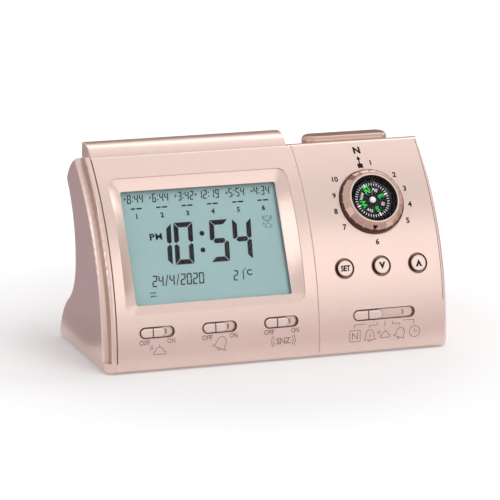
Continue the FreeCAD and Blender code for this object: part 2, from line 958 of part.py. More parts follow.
def split_line_cut():
    """The fine upright line between the display field and the dial field."""
    low = split_line_x - d.split_line_width / 2
    high = split_line_x + d.split_line_width / 2
    corners = rectangle(low, high, d.front_radius - d.split_line_depth, d.front_radius + d.reach)
    return swept_about_front("split_line_cut", corners, d.split_line_low, d.trim_high_lean)


def opening_edges(frame, half_x, low, high, corner, point):
    """Eight edges of a round-cornered opening; point(x, s) gives the place of a point of it."""
    diagonal = corner * (1 - math.sqrt(0.5))
    spots = [
        (-half_x + corner, low), (half_x - corner, low), (half_x, low + corner), (half_x, high - corner),
        (half_x - corner, high), (-half_x + corner, high), (-half_x, high - corner), (-half_x, low + corner),
    ]
    middles = [
        (0, low), (half_x - diagonal, low + diagonal), (half_x, (low + high) / 2),
        (half_x - diagonal, high - diagonal), (0, high), (-half_x + diagonal, high - diagonal),
        (-half_x, (low + high) / 2), (-half_x + diagonal, low + diagonal),
    ]
    edges = []
    for index, middle in enumerate(middles):
        start = frame.multVec(point(*spots[index]))
        finish = frame.multVec(point(*spots[(index + 1) % len(spots)]))
        through = frame.multVec(point(*middle))
        straight = (start + finish) * 0.5
        if straight.distanceToPoint(through) < 1e-6:
            edges.append(Part.makeLine(start, finish))
        else:
            edges.append(Part.Arc(start, through, finish).toShape())
    return edges


def bezel_cut():
    """The sloping surround of the display: it runs from a round-cornered outline that lies on the curved
    panel down to the flat window."""
    size = {name: float(sheet.get(name)) for name in SIZES}
    lean = math.radians(size["display_lean"])
    spot = FreeCAD.Vector(number(display_x), number(axis_y) - size["front_radius"] * math.cos(lean),
                          number(axis_z) + size["front_radius"] * math.sin(lean))
    turn = FreeCAD.Rotation(FreeCAD.Vector(1, 0, 0), 90 - size["display_lean"])
    frame = FreeCAD.Placement(spot, turn)
    lip = size["front_radius"] - size["opening_lip"]

    def on_panel(x, s):
        angle = s / size["front_radius"]
        return FreeCAD.Vector(x, lip * math.sin(angle), lip * math.cos(angle) - size["front_radius"])

    def above(x, s):
        return FreeCAD.Vector(x, on_panel(x, s).y, size["reach"])

    def at_window(x, s):
        return FreeCAD.Vector(x, s, -size["display_depth"])

    half_high = size["opening_height"] / 2
    window_low = -size["window_height"] / 2 - size["window_drop"]
    window_high = size["window_height"] / 2 - size["window_drop"]
    outer = (number(opening_width) / 2, -half_high, half_high, size["opening_corner"])
    inner = (number(window_width) / 2, window_low, window_high, size["window_corner"])
    top = opening_edges(frame, *outer, above)
    rim = opening_edges(frame, *outer, on_panel)
    window = opening_edges(frame, *inner, at_window)
    faces = [Part.makeRuledSurface(upper, lower) for upper, lower in zip(top, rim)]
    faces += [Part.makeRuledSurface(upper, lower) for upper, lower in zip(rim, window)]
    faces += [Part.Face(Part.Wire(top)), Part.Face(Part.Wire(window))]
    shell = Part.makeShell(faces)
    shell.sewShape()
    solid = Part.Solid(shell)
    if solid.Volume < 0:
        solid.reverse()
    piece = doc.addObject("Part::Feature", "bezel_cut")
    piece.Shape = solid
    return piece


# ---------------------------------------------------------------- levels behind the display

board_bore = d.board_screw_shank + 2 * d.screw_fit
lens_top = -(d.display_depth + d.sill)
lens_low = lens_top - d.lens_thickness
glass_top = lens_low - d.glass_gap
glass_low = glass_top - d.glass_thickness
well_low = lens_low - d.lens_fit
board_top = glass_low - d.zebra_height
window_half_x = window_width / 2
window_low_y = -d.window_height / 2 - d.window_drop
window_high_y = d.window_height / 2 - d.window_drop
lens_half_x = window_half_x + d.lens_margin
glass_half_x = window_half_x + d.glass_margin
frame_half_x = glass_half_x + d.frame_wall
post_x = opening_width / 2 + d.post_outset
post_y = d.post_span_y / 2
corner_small = d.window_corner


def at_display(piece):
    return on_front(piece, display_x, d.display_lean)


def display_well():
    """The block behind the panel that carries the sloping surround, with four posts for the board."""
    half_x = opening_width / 2 + d.well_wall
    half_y = d.opening_height / 2 + d.well_wall
    pieces = [at_display(block("display_well_block", -half_x, half_x, -half_y, half_y, well_low, 0.0))]
    for index, (sign_x, sign_y) in enumerate(((-1, -1), (1, -1), (-1, 1), (1, 1))):
        post = cylinder("display_post_%d" % index, d.post_diameter, board_top, -d.wall / 2,
                        sign_x * post_x, sign_y * post_y)
        pieces.append(at_display(post))
    return pieces


def display_cuts():
    low = window_low_y
    high = window_high_y
    window = rounded_block("window_cut", window_half_x, low, high, well_low - d.reach, lens_top + d.sill * 2,
                           d.window_corner)
    seat = block("lens_seat_cut", -(lens_half_x + d.lens_fit), lens_half_x + d.lens_fit,
                 low - d.lens_margin - d.lens_fit, high + d.lens_margin + d.lens_fit,
                 well_low - d.reach, lens_top)
    post_bore = [
        cylinder("post_bore_%d" % index, board_bore, board_top - 1, board_top + d.board_screw_length,
                 sign_x * post_x, sign_y * post_y)
        for index, (sign_x, sign_y) in enumerate(((-1, -1), (1, -1), (-1, 1), (1, 1)))
    ]
    return [at_display(piece) for piece in [window, seat] + post_bore]


# ---------------------------------------------------------------- levels at the dial, buttons and switches

dial_boss_low = -d.dial_boss_depth
dial_hub_low = -d.hub_depth
dial_board_top = dial_hub_low - d.dial_board_gap
dial_post_x = d.dial_board_width / 2 - d.post_diameter / 2

flange_top = -(d.sleeve_depth + d.seat_gap)
flange_low = flange_top - d.button_flange_thickness
stem_low = flange_low - d.stem_length
tact_top = stem_low - d.plunger_rise
button_board_top = tact_top - d.tact_height
button_places = {
    "set": dial_x - d.button_pitch,
    "down": dial_x,
    "up": dial_x + d.button_pitch,
}

slot_places = {
    "azan": slot_middle_x - slot_pitch,
    "alarm": slot_middle_x,
    "snooze": slot_middle_x + slot_pitch,
}
knob_travel = d.slot_length - d.knob_length - 2 * d.knob_end_gap
mode_travel = d.mode_slot_length - d.mode_knob_length - 2 * d.knob_end_gap
switch_top = -(d.stem_reach + d.switch_gap)
switch_board_top = switch_top - d.slide_switch_height


def at_dial(piece):
    return on_front(piece, dial_x, d.dial_lean)


def dial_seat():
    """The boss that the dial turns in, and the posts of its board."""
    boss_diameter = d.dial_diameter + 2 * d.dial_gap + 2 * d.dial_boss_wall
    pieces = [at_dial(cylinder("dial_boss", boss_diameter, dial_boss_low, 0.0))]
    for index, sign in enumerate((-1, 1)):
        post = cylinder("dial_post_%d" % index, d.post_diameter, dial_board_top, -d.wall / 2,
                        sign * dial_post_x)
        pieces.append(at_dial(post))
    return pieces


def dial_cuts():
    recess = cylinder("dial_recess_cut", d.dial_diameter + 2 * d.dial_gap, -d.dial_recess, d.reach)
    bore = cylinder("dial_bore_cut", d.hub_diameter + 2 * d.hub_fit, dial_boss_low - d.reach, d.reach)
    bores = [
        cylinder("dial_post_bore_%d" % index, board_bore, dial_board_top - 1,
                 dial_board_top + d.board_screw_length, sign * dial_post_x)
        for index, sign in enumerate((-1, 1))
    ]
    return [at_dial(piece) for piece in [recess, bore] + bores]


def button_sleeves():
    pieces = []
    for name, x in button_places.items():
        diameter = d.button_diameter + 2 * d.button_fit + 2 * d.sleeve_wall
        sleeve = cylinder(name + "_sleeve", diameter, -d.sleeve_depth, 0.0)
        pieces.append(on_front(sleeve, x, d.button_lean))
    for index, sign in enumerate((-1, 1)):
        post = cylinder("button_post_%d" % index, d.post_diameter, button_board_top, -d.wall / 2)
        pieces.append(on_front(post, dial_x + sign * d.button_pitch / 2, d.button_lean))
    return pieces


def button_cuts():
    pieces = []
    for name, x in button_places.items():
        recess = cylinder(name + "_recess_cut", d.button_recess_diameter, -d.button_recess_depth, d.reach)
        bore = cylinder(name + "_bore_cut", d.button_diameter + 2 * d.button_fit,
                        -d.sleeve_depth - d.reach, d.reach)
        pieces += [on_front(recess, x, d.button_lean), on_front(bore, x, d.button_lean)]
    for index, sign in enumerate((-1, 1)):
        bore = cylinder("button_post_bore_%d" % index, board_bore, button_board_top - 1,
                        button_board_top + d.board_screw_length)
        pieces.append(on_front(bore, dial_x + sign * d.button_pitch / 2, d.button_lean))
    return pieces


def slot_pair(name, x, length, travel):
    """A round-ended recess for a knob and the slit that its stem runs in."""
    recess = stadium_block(name + "_slot_cut", length, d.slot_height, -d.slot_depth, d.reach)
    slit = block(name + "_slit_cut", -(travel + d.stem_width) / 2 - d.stem_fit,
                 (travel + d.stem_width) / 2 + d.stem_fit,
                 -d.stem_height / 2 - d.stem_fit, d.stem_height / 2 + d.stem_fit,
                 -d.wall * 2, d.reach)
    return [on_front(recess, x, d.slot_lean), on_front(slit, x, d.slot_lean)]


def slot_cuts():
    pieces = []
    for name, x in slot_places.items():
        pieces += slot_pair(name, x, d.slot_length, knob_travel)
    pieces += slot_pair("mode", mode_x, d.mode_slot_length, mode_travel)
    for index, x in enumerate(switch_post_places()):
        bore = cylinder("switch_post_bore_%d" % index, board_bore, switch_board_top - 1,
                        switch_board_top + d.board_screw_length)
        pieces.append(on_front(bore, x, d.slot_lean))
    return pieces


def switch_post_places():
    return [slot_middle_x - slot_pitch / 2, mode_x - d.mode_slot_length]


def switch_posts():
    pieces = []
    for index, x in enumerate(switch_post_places()):
        post = cylinder("switch_post_%d" % index, d.post_diameter, switch_board_top, -d.wall / 2)
        pieces.append(on_front(post, x, d.slot_lean))
    return pieces


# ---------------------------------------------------------------- crown: deck, snooze bar and light button

bar_top = crown_top + d.bar_rise
bar_front_low = crown_top - d.bar_front_drop
bar_back_low = crown_top - d.bar_back_drop
bar_hollow_top = crown_top + d.bar_hollow_rise
bar_front = d.crown_centre_depth + d.bar_front_set
bar_ridge = d.crown_centre_depth + d.bar_ridge_set
bar_back = d.crown_centre_depth + d.bar_back_set
deck_back = d.crown_centre_depth + d.deck_back_set
deck_floor = crown_top - d.deck_drop
light_top = crown_top + d.light_rise
light_low = crown_top - d.light_low_drop
light_floor = crown_top - d.light_floor_drop
top_board_height = crown_top - d.top_board_drop
bar_left_x = -seam_x
bar_right_x = split_line_x - d.bar_split_gap
bar_middle_x = (bar_left_x + bar_right_x) / 2
bar_half = (bar_right_x - bar_left_x) / 2 - d.bar_end_gap
bar_guide_x = bar_half - d.guide_inset
bar_slope = (bar_front_low - bar_back_low) / (bar_back - bar_front)
light_x = dial_x - d.light_offset
key_y = crown_centre[0] + d.key_setback
deck_low = case_z(deck_floor)
guide_low = deck_low - d.seat_gap
notch_height = case_z(bar_front_low - d.deck_gap) - bar_slope * (key_y - case_y(bar_front))
spring_seat = notch_height - d.spring_sunk
top_board_top = case_z(top_board_height)
top_tact_top = top_board_top + d.tact_height
top_plunger_top = top_tact_top + d.plunger_rise


def deck_block():
    """Thick floor under the crown for the two top keys, with the posts of the top board."""
    corners = rectangle(case_y(bar_front), case_y(deck_back), deck_low, case_z(crown_top + d.reach))
    deck = side_block("deck_block", corners, bar_left_x - 1, half_width - d.deck_side_gap)
    return [deck]


def top_posts():
    pieces = []
    for index, x in enumerate(top_post_places()):
        pieces.append(cylinder("top_post_%d" % index, d.top_post_diameter, top_board_top,
                               deck_low + d.seat_gap, x, key_y))
    return pieces


def top_post_places():
    return [bar_middle_x - bar_guide_x / 2, bar_right_x + d.button_pitch / 4]


def top_cuts():
    notch_low = case_z(bar_front_low - d.deck_gap)
    back_depth = bar_back + d.reach
    notch = [
        (case_y(bar_front - d.bar_front_gap), notch_low),
        (case_y(back_depth), notch_low - bar_slope * (back_depth - bar_front)),
        (case_y(back_depth), case_z(bar_top + d.reach)),
        (case_y(bar_front - d.bar_front_gap), case_z(bar_top + d.reach)),
    ]
    pieces = [side_block("bar_notch_cut", notch, bar_left_x, bar_right_x)]
    for index, sign in enumerate((-1, 1)):
        x = bar_middle_x + sign * bar_guide_x
        pieces.append(cylinder("bar_guide_cut_%d" % index, d.guide_diameter + 2 * d.guide_fit,
                               deck_low - d.reach, case_z(bar_top), x, key_y))
        pieces.append(cylinder("spring_seat_cut_%d" % index, d.spring_pocket, spring_seat,
                               case_z(bar_top), x, key_y))
        x = light_x + sign * d.light_guide_span / 2
        pieces.append(cylinder("light_guide_cut_%d" % index, d.guide_diameter + 2 * d.guide_fit,
                               deck_low - d.reach, case_z(light_top), x, key_y))
    for name, x in (("bar", bar_middle_x), ("light", light_x)):
        pieces.append(cylinder(name + "_stem_cut", d.stem_diameter + 2 * d.guide_fit,
                               deck_low - d.reach, case_z(light_top), x, key_y))
    pieces.append(stadium_block("light_pocket_cut", d.light_length + 2 * d.light_gap,
                                d.light_width + 2 * d.light_gap, case_z(light_floor),
                                case_z(light_top + d.reach), light_x, key_y))
    for index, x in enumerate(top_post_places()):
        pieces.append(cylinder("top_post_bore_%d" % index, board_bore, top_board_top - 1,
                               top_board_top + d.board_screw_length, x, key_y))
    return pieces


def screw_places():
    return [
        (sign * (inside_x - d.screw_side_gap), case_y(depth))
        for sign in (-1, 1) for depth in (d.screw_front_depth, d.screw_back_depth)
    ]


def screw_bosses():
    """Four bosses beside the side walls, which the case screws bite into."""
    pieces = []
    low = case_z(d.screw_pad_top)
    top = case_z(d.screw_boss_top)
    for index, (x, y) in enumerate(screw_places()):
        pieces.append(cylinder("screw_boss_%d" % index, d.screw_boss, low, top, x, y))
        outer = inside_x + d.wall / 2
        span = (-outer, x) if number(x) < 0 else (x, outer)
        pieces.append(block("screw_web_%d" % index, *span, y - d.wall / 2, y + d.wall / 2, low, top))
    return pieces


def screw_bores():
    top = case_z(d.screw_head_depth + d.screw_head_height + d.screw_length + 1)
    return [
        cylinder("screw_bore_%d" % index, d.screw_shank + 2 * d.screw_fit, case_z(0), top, x, y)
        for index, (x, y) in enumerate(screw_places())
    ]


def front_housing():
    """The front shell: curved panel, stepped side mouldings, side walls and crown in one moulding."""
    hollow = hollow_solid("housing_hollow", narrow_half)
    deep_drum = front_drum("deep_drum", d.front_radius - d.trim_depth - d.wall, inside_x)
    side_hollow = common("side_hollow", hollow_solid("side_hollow_full", inside_x), deep_drum)
    empty = fuse("housing_empty", [hollow, side_hollow, back_region("housing_back")])
    shell = cut("housing_shell", housing_block(), empty)
    inner_parts = display_well() + dial_seat() + button_sleeves() + switch_posts() + deck_block()
    ribs = common("housing_ribs", fuse("housing_rib_blocks", inner_parts),
                  common("rib_limit", front_drum("rib_drum", d.front_radius - d.wall / 2, inside_x),
                         case_solid("rib_case", inside_x)))
    kept_ribs = cut("housing_ribs_kept", ribs, back_region("rib_back"))
    solid = fuse("housing_solid", [shell, kept_ribs] + screw_bosses() + top_posts())
    cuts = [left_trim_cut(), right_trim_cut(), foot_corner_cut(), split_line_cut(), bezel_cut()]
    cuts += display_cuts() + dial_cuts() + button_cuts() + slot_cuts() + top_cuts() + screw_bores()
    return node(cut("front_housing", solid, fuse("housing_cuts", cuts)))


# ---------------------------------------------------------------- rear cover with the battery bay

cell_z = case_z(d.wall + d.door_lip_thickness + d.cell_clear + d.cell_diameter / 2)
cell_ys = (case_y(d.cell_front_depth), case_y(d.cell_front_depth + d.cell_pitch))
bay_roof = cell_z + d.cell_diameter / 2 + d.cell_clear
bay_front = case_y(d.cell_front_depth) - d.cell_diameter / 2 - d.cell_clear
floor_top = case_z(d.wall)
tongue_low = case_z((d.wall - d.door_tongue_thickness) / 2)
tongue_top = tongue_low + d.door_tongue_thickness


def battery_bay():
    """Roof, front wall and end walls of the battery bay, standing on the floor of the cover."""
    outer = d.bay_half + d.bay_wall
    front = bay_front - d.bay_wall
    back = case_y(d.ankle_back)
    pieces = [
        block("bay_roof", -outer, outer, front, back, bay_roof, bay_roof + d.bay_wall),
        block("bay_front", -outer, outer, front, bay_front, case_z(d.wall / 2), bay_roof),
    ]
    for side, low, high in (("left", -outer, -d.bay_half), ("right", d.bay_half, outer)):
        pieces.append(block("bay_end_" + side, low, high, front, back, case_z(d.wall / 2), bay_roof))
    return pieces


def speaker_seat():
    """The ring that the speaker sits in, behind the grille."""
    rim = d.speaker_diameter + 2 * d.speaker_fit + 2 * d.speaker_wall
    throat = d.speaker_diameter - 2 * d.speaker_seat_width
    floor = ring("speaker_floor", rim, throat, -d.speaker_seat_depth, 2 * d.reach)
    wall = ring("speaker_rim", rim, d.speaker_diameter + 2 * d.speaker_fit,
                -d.speaker_seat_depth - d.speaker_flange, -d.speaker_seat_depth)
    return [on_back(floor, speaker_x), on_back(wall, speaker_x)]


def grille_cuts():
    """Round-ended slots through the back, shorter toward the edge of the speaker."""
    pieces = []
    for row in range(-3, 4):
        offset = row * d.grille_pitch
        length = 2 * root(d.grille_diameter * d.grille_diameter / 4 - offset * offset)
        slot = stadium_block("grille_slot_%d" % (row + 3), length, d.grille_slot,
                             -d.speaker_seat_depth, 2 * d.reach, 0.0, offset)
        pieces.append(on_back(slot, speaker_x))
    return pieces


def door_cut():
    """The opening that the battery door closes, with grooves for its side tongues."""
    half = d.door_half + d.door_gap
    front = case_y(d.door_front - d.door_gap)
    back = case_y(d.case_depth + d.reach)
    groove = half + d.door_tongue
    return [
        block("door_opening", -half, half, front, back, -d.reach, case_z(d.door_height + d.door_gap)),
        block("door_groove", -groove, groove, front, back, tongue_low - d.door_tongue_gap,
              tongue_top + d.door_tongue_gap),
    ]


def tab_cuts():
    """Slots in the end walls of the bay for the solder tabs of the contacts."""
    pieces = []
    outer = d.bay_half + d.bay_wall + 1
    half = d.tab_width / 2 + d.seat_gap
    for index, y in enumerate(cell_ys):
        pieces.append(block("tab_slot_%d" % index, -outer, -d.bay_half + 1, y - half, y + half,
                            cell_z - d.plate_thickness, cell_z + d.plate_thickness))
    return pieces


def foot_places():
    return [
        (sign * (half_width - d.rubber_side_gap), case_y(depth))
        for sign in (-1, 1) for depth in (d.rubber_front_depth, d.rubber_back_depth)
    ]


def rear_cover():
    """The back and the underside of the case: battery bay, speaker ring, grille and screw seats."""
    outer = common("cover_outer", case_solid("cover_case", inside_x - d.case_gap),
                   back_region("cover_region", d.case_gap))
    shell = cut("cover_shell", outer, hollow_solid("cover_hollow", half_width))
    inner = battery_bay() + speaker_seat()
    for index, (x, y) in enumerate(screw_places()):
        inner.append(cylinder("screw_pad_%d" % index, d.screw_pad, case_z(d.wall / 2),
                              case_z(d.screw_pad_top), x, y))
    limit = common("cover_limit", case_solid("cover_limit_case", inside_x - d.case_gap),
                   back_region("cover_limit_region", d.case_gap))
    kept = common("cover_inner", fuse("cover_inner_parts", inner), limit)
    cuts = grille_cuts() + door_cut() + tab_cuts()
    for index, (x, y) in enumerate(screw_places()):
        cuts.append(cylinder("screw_head_cut_%d" % index, d.screw_head + 2 * d.screw_play, 0.0,
                             case_z(d.screw_head_depth + d.screw_head_height), x, y))
        cuts.append(cylinder("screw_play_cut_%d" % index, d.screw_shank + 2 * d.screw_play, 0.0,
                             case_z(d.screw_pad_top + 1), x, y))
    for index, (x, y) in enumerate(foot_places()):
        cuts.append(cylinder("foot_seat_%d" % index, d.rubber_diameter, 0.0,
                             case_z(d.rubber_sunk), x, y))
    return node(cut("rear_cover", fuse("cover_solid", [shell, kept]), fuse("cover_cuts", cuts)))


def battery_door():
    """Slides off to the back: floor of the bay, heel wall, side tongues and a lip in front."""
    skin = cut("door_skin", case_solid("door_case", d.door_half), hollow_solid("door_hollow", d.case_width))
    window = block("door_window", -half_width, half_width, case_y(d.door_front),
                   case_y(d.case_depth + d.reach), -d.reach, case_z(d.door_height))
    plate = common("door_plate", skin, window)
    tongue = d.door_half + d.door_tongue
    extras = [
        block("door_tongues", -tongue, tongue, case_y(d.door_front), case_y(d.screw_back_depth),
              tongue_low, tongue_top),
        block("door_lip", -d.door_lip_half, d.door_lip_half, case_y(d.door_lip_front),
              case_y(d.door_lip_back), floor_top, floor_top + d.door_lip_thickness),
    ]
    return node(fuse("battery_door", [plate] + extras))


def cell(label, y, turned_round):
    """One AA cell lying along X: the nub at its end, the case of the cell behind it."""
    body = new_body(label)
    radius = d.cell_diameter / 2
    tip = d.bay_half - d.plate_thickness
    shoulder = tip - d.nub_length
    tail = tip - d.cell_length
    corners = [
        (tail, 0.0), (tip, 0.0), (tip, d.nub_diameter / 2), (shoulder, d.nub_diameter / 2),
        (shoulder, radius - d.cell_edge), (shoulder - d.cell_edge, radius),
        (tail + d.cell_edge, radius), (tail, radius - d.cell_edge),
    ]
    if turned_round:
        corners = [(-x, distance) for x, distance in corners]
    revolve(body, closed_outline(plane_sketch(body, "XZ_Plane"), corners), "H_Axis")
    return node(place(body, 0.0, y, cell_z))


def contacts():
    """Contact plates at both ends of the bay and the coil springs that press on the flat cell ends."""
    half_y = d.cell_diameter / 2 - d.bay_wall
    half_z = half_y - d.bay_wall / 2
    inner = d.bay_half - d.plate_thickness
    low = cell_z - half_z
    high = cell_z + half_z
    plates = [block("link_plate", inner, d.bay_half, cell_ys[0] - half_y, cell_ys[1] + half_y, low, high)]
    for index, y in enumerate(cell_ys):
        plate = block("end_plate_%d" % index, -d.bay_half, -inner, y - half_y, y + half_y, low, high)
        tab_end = -(d.bay_half + d.bay_wall + d.tab_reach)
        half = d.tab_width / 2
        tab = block("solder_tab_%d" % index, tab_end, -inner, y - half, y + half,
                    cell_z - d.plate_thickness / 2, cell_z + d.plate_thickness / 2)
        plates.append(fuse("contact_%d" % index, [plate, tab]))
    node(group("contact_plates", plates))
    leaves = [
        leaf_contact("front_leaf", cell_ys[0], -1, inner),
        leaf_contact("rear_leaf", cell_ys[1], 1, inner),
    ]
    node(group("contact_springs", leaves))


def leaf_contact(label, y, side, inner):
    """A bent strip that bulges from the end plate to the flat end of a cell."""
    rise = d.contact_rise
    flat = d.contact_flat
    sheet = d.plate_thickness
    reach_in = 2 * inner - d.cell_length
    outline = [
        (inner, rise), (inner - reach_in, flat), (inner - reach_in, -flat), (inner, -rise),
        (inner, sheet - rise), (inner - reach_in + sheet, -flat), (inner - reach_in + sheet, flat),
        (inner, rise - sheet),
    ]
    body = new_body(label)
    sketch = plane_sketch(body, "XZ_Plane")
    closed_outline(sketch, [(side * x, z) for x, z in outline])
    pad(body, sketch, d.contact_width, symmetric=True)
    return place(body, 0.0, y, cell_z)


def coil(label, x, y, z, mean, wire, turns, length, turn=FreeCAD.Rotation()):
    """A coil spring of square wire along its own Z, with half a wire kept inside both ends."""
    run = length - wire
    helix = doc.addObject("Part::Helix", label + "_line")
    bind(helix, "Radius", mean / 2)
    bind(helix, "Height", run)
    bind(helix, "Pitch", run / turns)
    section = doc.addObject("Part::RegularPolygon", label + "_section")
    section.Polygon = 4
    bind(section, "Circumradius", wire / 2)
    upright = FreeCAD.Rotation(FreeCAD.Vector(1, 0, 0), 90)
    section.Placement = FreeCAD.Placement(FreeCAD.Vector(0, 0, 0), upright)
    section.setExpression("Placement.Base.x", (mean / 2).formula)
    sweep = doc.addObject("Part::Sweep", label + "_wire")
    sweep.Sections = [section]
    sweep.Spine = (helix, ["Edge1"])
    sweep.Solid = True
    sweep.Frenet = True
    holder = doc.addObject("Part::Compound", label)
    holder.Links = [sweep]
    lift = turn.multVec(FreeCAD.Vector(0, 0, number(wire) / 2))
    holder.Placement = FreeCAD.Placement(FreeCAD.Vector(0, 0, 0), turn)
    steps = (wire / 2 * lift_sign(lift.x), wire / 2 * lift_sign(lift.y), wire / 2 * lift_sign(lift.z))
    for letter, item, step in zip("xyz", (x, y, z), steps):
        holder.setExpression("Placement.Base." + letter, formula(item + step))
    return holder


def lift_sign(value):
    if abs(value) < 1e-9:
        return 0.0
    return math.copysign(1.0, value)


def fasteners_and_feet():
    screws = []
    head_low = case_z(d.screw_head_depth)
    head_top = head_low + d.screw_head_height
    for index, (x, y) in enumerate(screw_places()):
        screw = turned("case_screw_%d" % index, [
            (0.0, head_low), (d.screw_head / 2, head_low), (d.screw_head / 2, head_top),
            (d.screw_shank / 2, head_top), (d.screw_shank / 2, head_top + d.screw_length),
            (0.0, head_top + d.screw_length),
        ])
        screws.append(place(screw, x, y, 0.0))
    node(group("case_screws", screws))
    feet = []
    for index, (x, y) in enumerate(foot_places()):
        feet.append(cylinder("rubber_foot_%d" % index, d.rubber_diameter - 2 * d.screw_fit, 0.0,
                             case_z(d.rubber_sunk), x, y))
    node(group("rubber_feet", feet))


# ---------------------------------------------------------------- speaker

def speaker():
    seat = -d.speaker_seat_depth
    back = seat - d.speaker_flange
    body_low = seat - d.speaker_body_depth
    outer = d.speaker_diameter / 2
    inner = outer - d.speaker_seat_width
    throat = d.speaker_throat / 2
    sheet_metal = d.speaker_sheet
    frame = turned("speaker_frame", [
        (inner, seat), (outer, seat), (outer, back), (inner + sheet_metal, back),
        (throat + sheet_metal, body_low), (throat - d.speaker_seat_width, body_low),
        (throat - d.speaker_seat_width, body_low + sheet_metal), (throat, body_low + sheet_metal),
        (inner, back + sheet_metal),
    ])
    node(on_back(frame, speaker_x))
    coil_radius = throat / 2
    dish = throat - d.speaker_seat_width / 2
    dish_low = body_low + 2 * sheet_metal
    rim = inner - d.speaker_fit
    cone = turned("speaker_cone", [
        (0.0, body_low), (coil_radius, body_low), (coil_radius, dish_low), (dish, dish_low),
        (rim, seat - sheet_metal / 2), (rim, seat), (dish, dish_low + sheet_metal),
        (coil_radius / 2, dish_low + 2 * sheet_metal), (0.0, dish_low + 2 * sheet_metal),
    ])
    node(on_back(cone, speaker_x))
    magnet = cylinder("speaker_magnet", d.speaker_magnet_diameter,
                      body_low - d.speaker_magnet_height, body_low)
    node(on_back(magnet, speaker_x))


# ---------------------------------------------------------------- display stack

def display_stack():
    low = window_low_y
    high = window_high_y
    margin = d.lens_margin
    lens = block("display_lens", -lens_half_x, lens_half_x, low - margin, high + margin, lens_low, lens_top)
    node(at_display(lens))
    margin = d.glass_margin
    glass = block("lcd_glass", -glass_half_x, glass_half_x, low - margin, high + margin,
                  glass_low, glass_top)
    node(at_display(glass))
    fit = d.lens_fit
    outer = block("lcd_frame_block", -frame_half_x, frame_half_x, low - margin - d.frame_wall,
                  high + margin + d.frame_wall, board_top, well_low)
    pocket_cut = block("lcd_frame_pocket", -glass_half_x - fit, glass_half_x + fit, low - margin - fit,
                       high + margin + fit, glass_low, well_low + 1)
    ledge = d.frame_ledge
    opening = block("lcd_frame_opening", ledge - glass_half_x, glass_half_x - ledge, low - margin + ledge,
                    high + margin - ledge, board_top - 1, well_low + 1)
    frame = cut("lcd_frame_solid", outer, fuse("lcd_frame_cuts", [pocket_cut, opening]))
    node(at_display(group("lcd_frame", [frame])))
    strips = []
    half = glass_half_x - d.zebra_short
    sides = (("low", low - margin + ledge + fit), ("high", high + margin - ledge - fit - d.zebra_width))
    for name, side_low in sides:
        strips.append(block("zebra_" + name, -half, half, side_low, side_low + d.zebra_width,
                            board_top, glass_low))
    node(at_display(group("zebra_strips", strips)))


def holed_board(label, x_low, x_high, y_low, y_high, top, holes):
    """A circuit board with clearance holes for its screws."""
    body = new_body(label)
    sketch = closed_outline(plane_sketch(body, "XY_Plane", top - d.board_thickness),
                            rectangle(x_low, x_high, y_low, y_high))
    for x, y in holes:
        circle(sketch, x, y, d.board_screw_shank / 2 + d.screw_play / 2)
    pad(body, sketch, d.board_thickness)
    return body


def board_brick(label, x, y, length, width, height, face):
    """A flat component centred at a place on the back of a board."""
    return block(label, x - length / 2, x + length / 2, y - width / 2, y + width / 2, face - height, face)


def circuit_boards():
    screws = []
    margin = d.post_diameter
    corners = [(sx * post_x, sy * post_y) for sx in (-1, 1) for sy in (-1, 1)]
    low = window_low_y - margin
    high = window_high_y + margin + d.glass_margin
    half_x = post_x + margin / 2
    main = holed_board("main_board", -half_x, half_x, low, high, board_top, corners)
    node(at_display(main))
    screws.append(screw_set("main", board_top, corners, at_display))
    back = board_top - d.board_thickness
    chip = cylinder("chip_cover", d.chip_diameter, back - d.chip_height, back, d.chip_x, d.chip_y)
    node(at_display(chip))
    parts = [
        board_brick("crystal_case", d.crystal_x, d.crystal_y, d.crystal_length, d.crystal_width,
                    d.crystal_height, back),
        cylinder("smoothing_can", d.can_diameter, back - d.can_height, back, d.can_x, d.can_y),
        board_brick("driver_chip", d.driver_x, d.driver_y, d.driver_length, d.driver_width,
                    d.driver_height, back),
    ]
    node(at_display(group("board_components", parts)))
    holes = [(-dial_post_x, 0.0), (dial_post_x, 0.0)]
    half_x = d.dial_board_width / 2
    half_y = d.dial_board_height / 2
    dial = holed_board("dial_board", -half_x, half_x, -half_y, half_y, dial_board_top, holes)
    node(at_dial(dial))
    screws.append(screw_set("dial", dial_board_top, holes, at_dial))

    def at_buttons(piece):
        return on_front(piece, dial_x, d.button_lean)

    holes = [(-d.button_pitch / 2, 0.0), (d.button_pitch / 2, 0.0)]
    half_x = d.button_pitch + d.tact_width
    half_y = d.tact_width / 2 + d.button_board_overhang
    buttons = holed_board("button_board", -half_x, half_x, -half_y, half_y, button_board_top, holes)
    node(at_buttons(buttons))
    screws.append(screw_set("button", button_board_top, holes, at_buttons))

    def at_switches(piece):
        return on_front(piece, 0.0, d.slot_lean)

    holes = [(x, 0.0) for x in switch_post_places()]
    half = half_width - d.switch_board_inset
    switches = holed_board("switch_board", -half, half, -d.switch_board_low, d.switch_board_high,
                           switch_board_top, holes)
    node(at_switches(switches))
    screws.append(screw_set("switch", switch_board_top, holes, at_switches))

    holes = [(x, key_y) for x in top_post_places()]
    nearest = back_radius + d.wall
    drop = top_board_top - d.board_thickness - back_centre[1]
    back = back_centre[0] - root(nearest * nearest - drop * drop) - d.top_board_clear
    left = holes[0][0] - d.top_board_margin
    right = light_x + d.tact_width / 2 + d.top_board_margin / 2
    node(holed_board("top_board", left, right, key_y - d.top_board_front, back, top_board_top, holes))
    screws.append(screw_set("top", top_board_top, holes, lambda piece: piece))
    node(group("board_screws", screws))


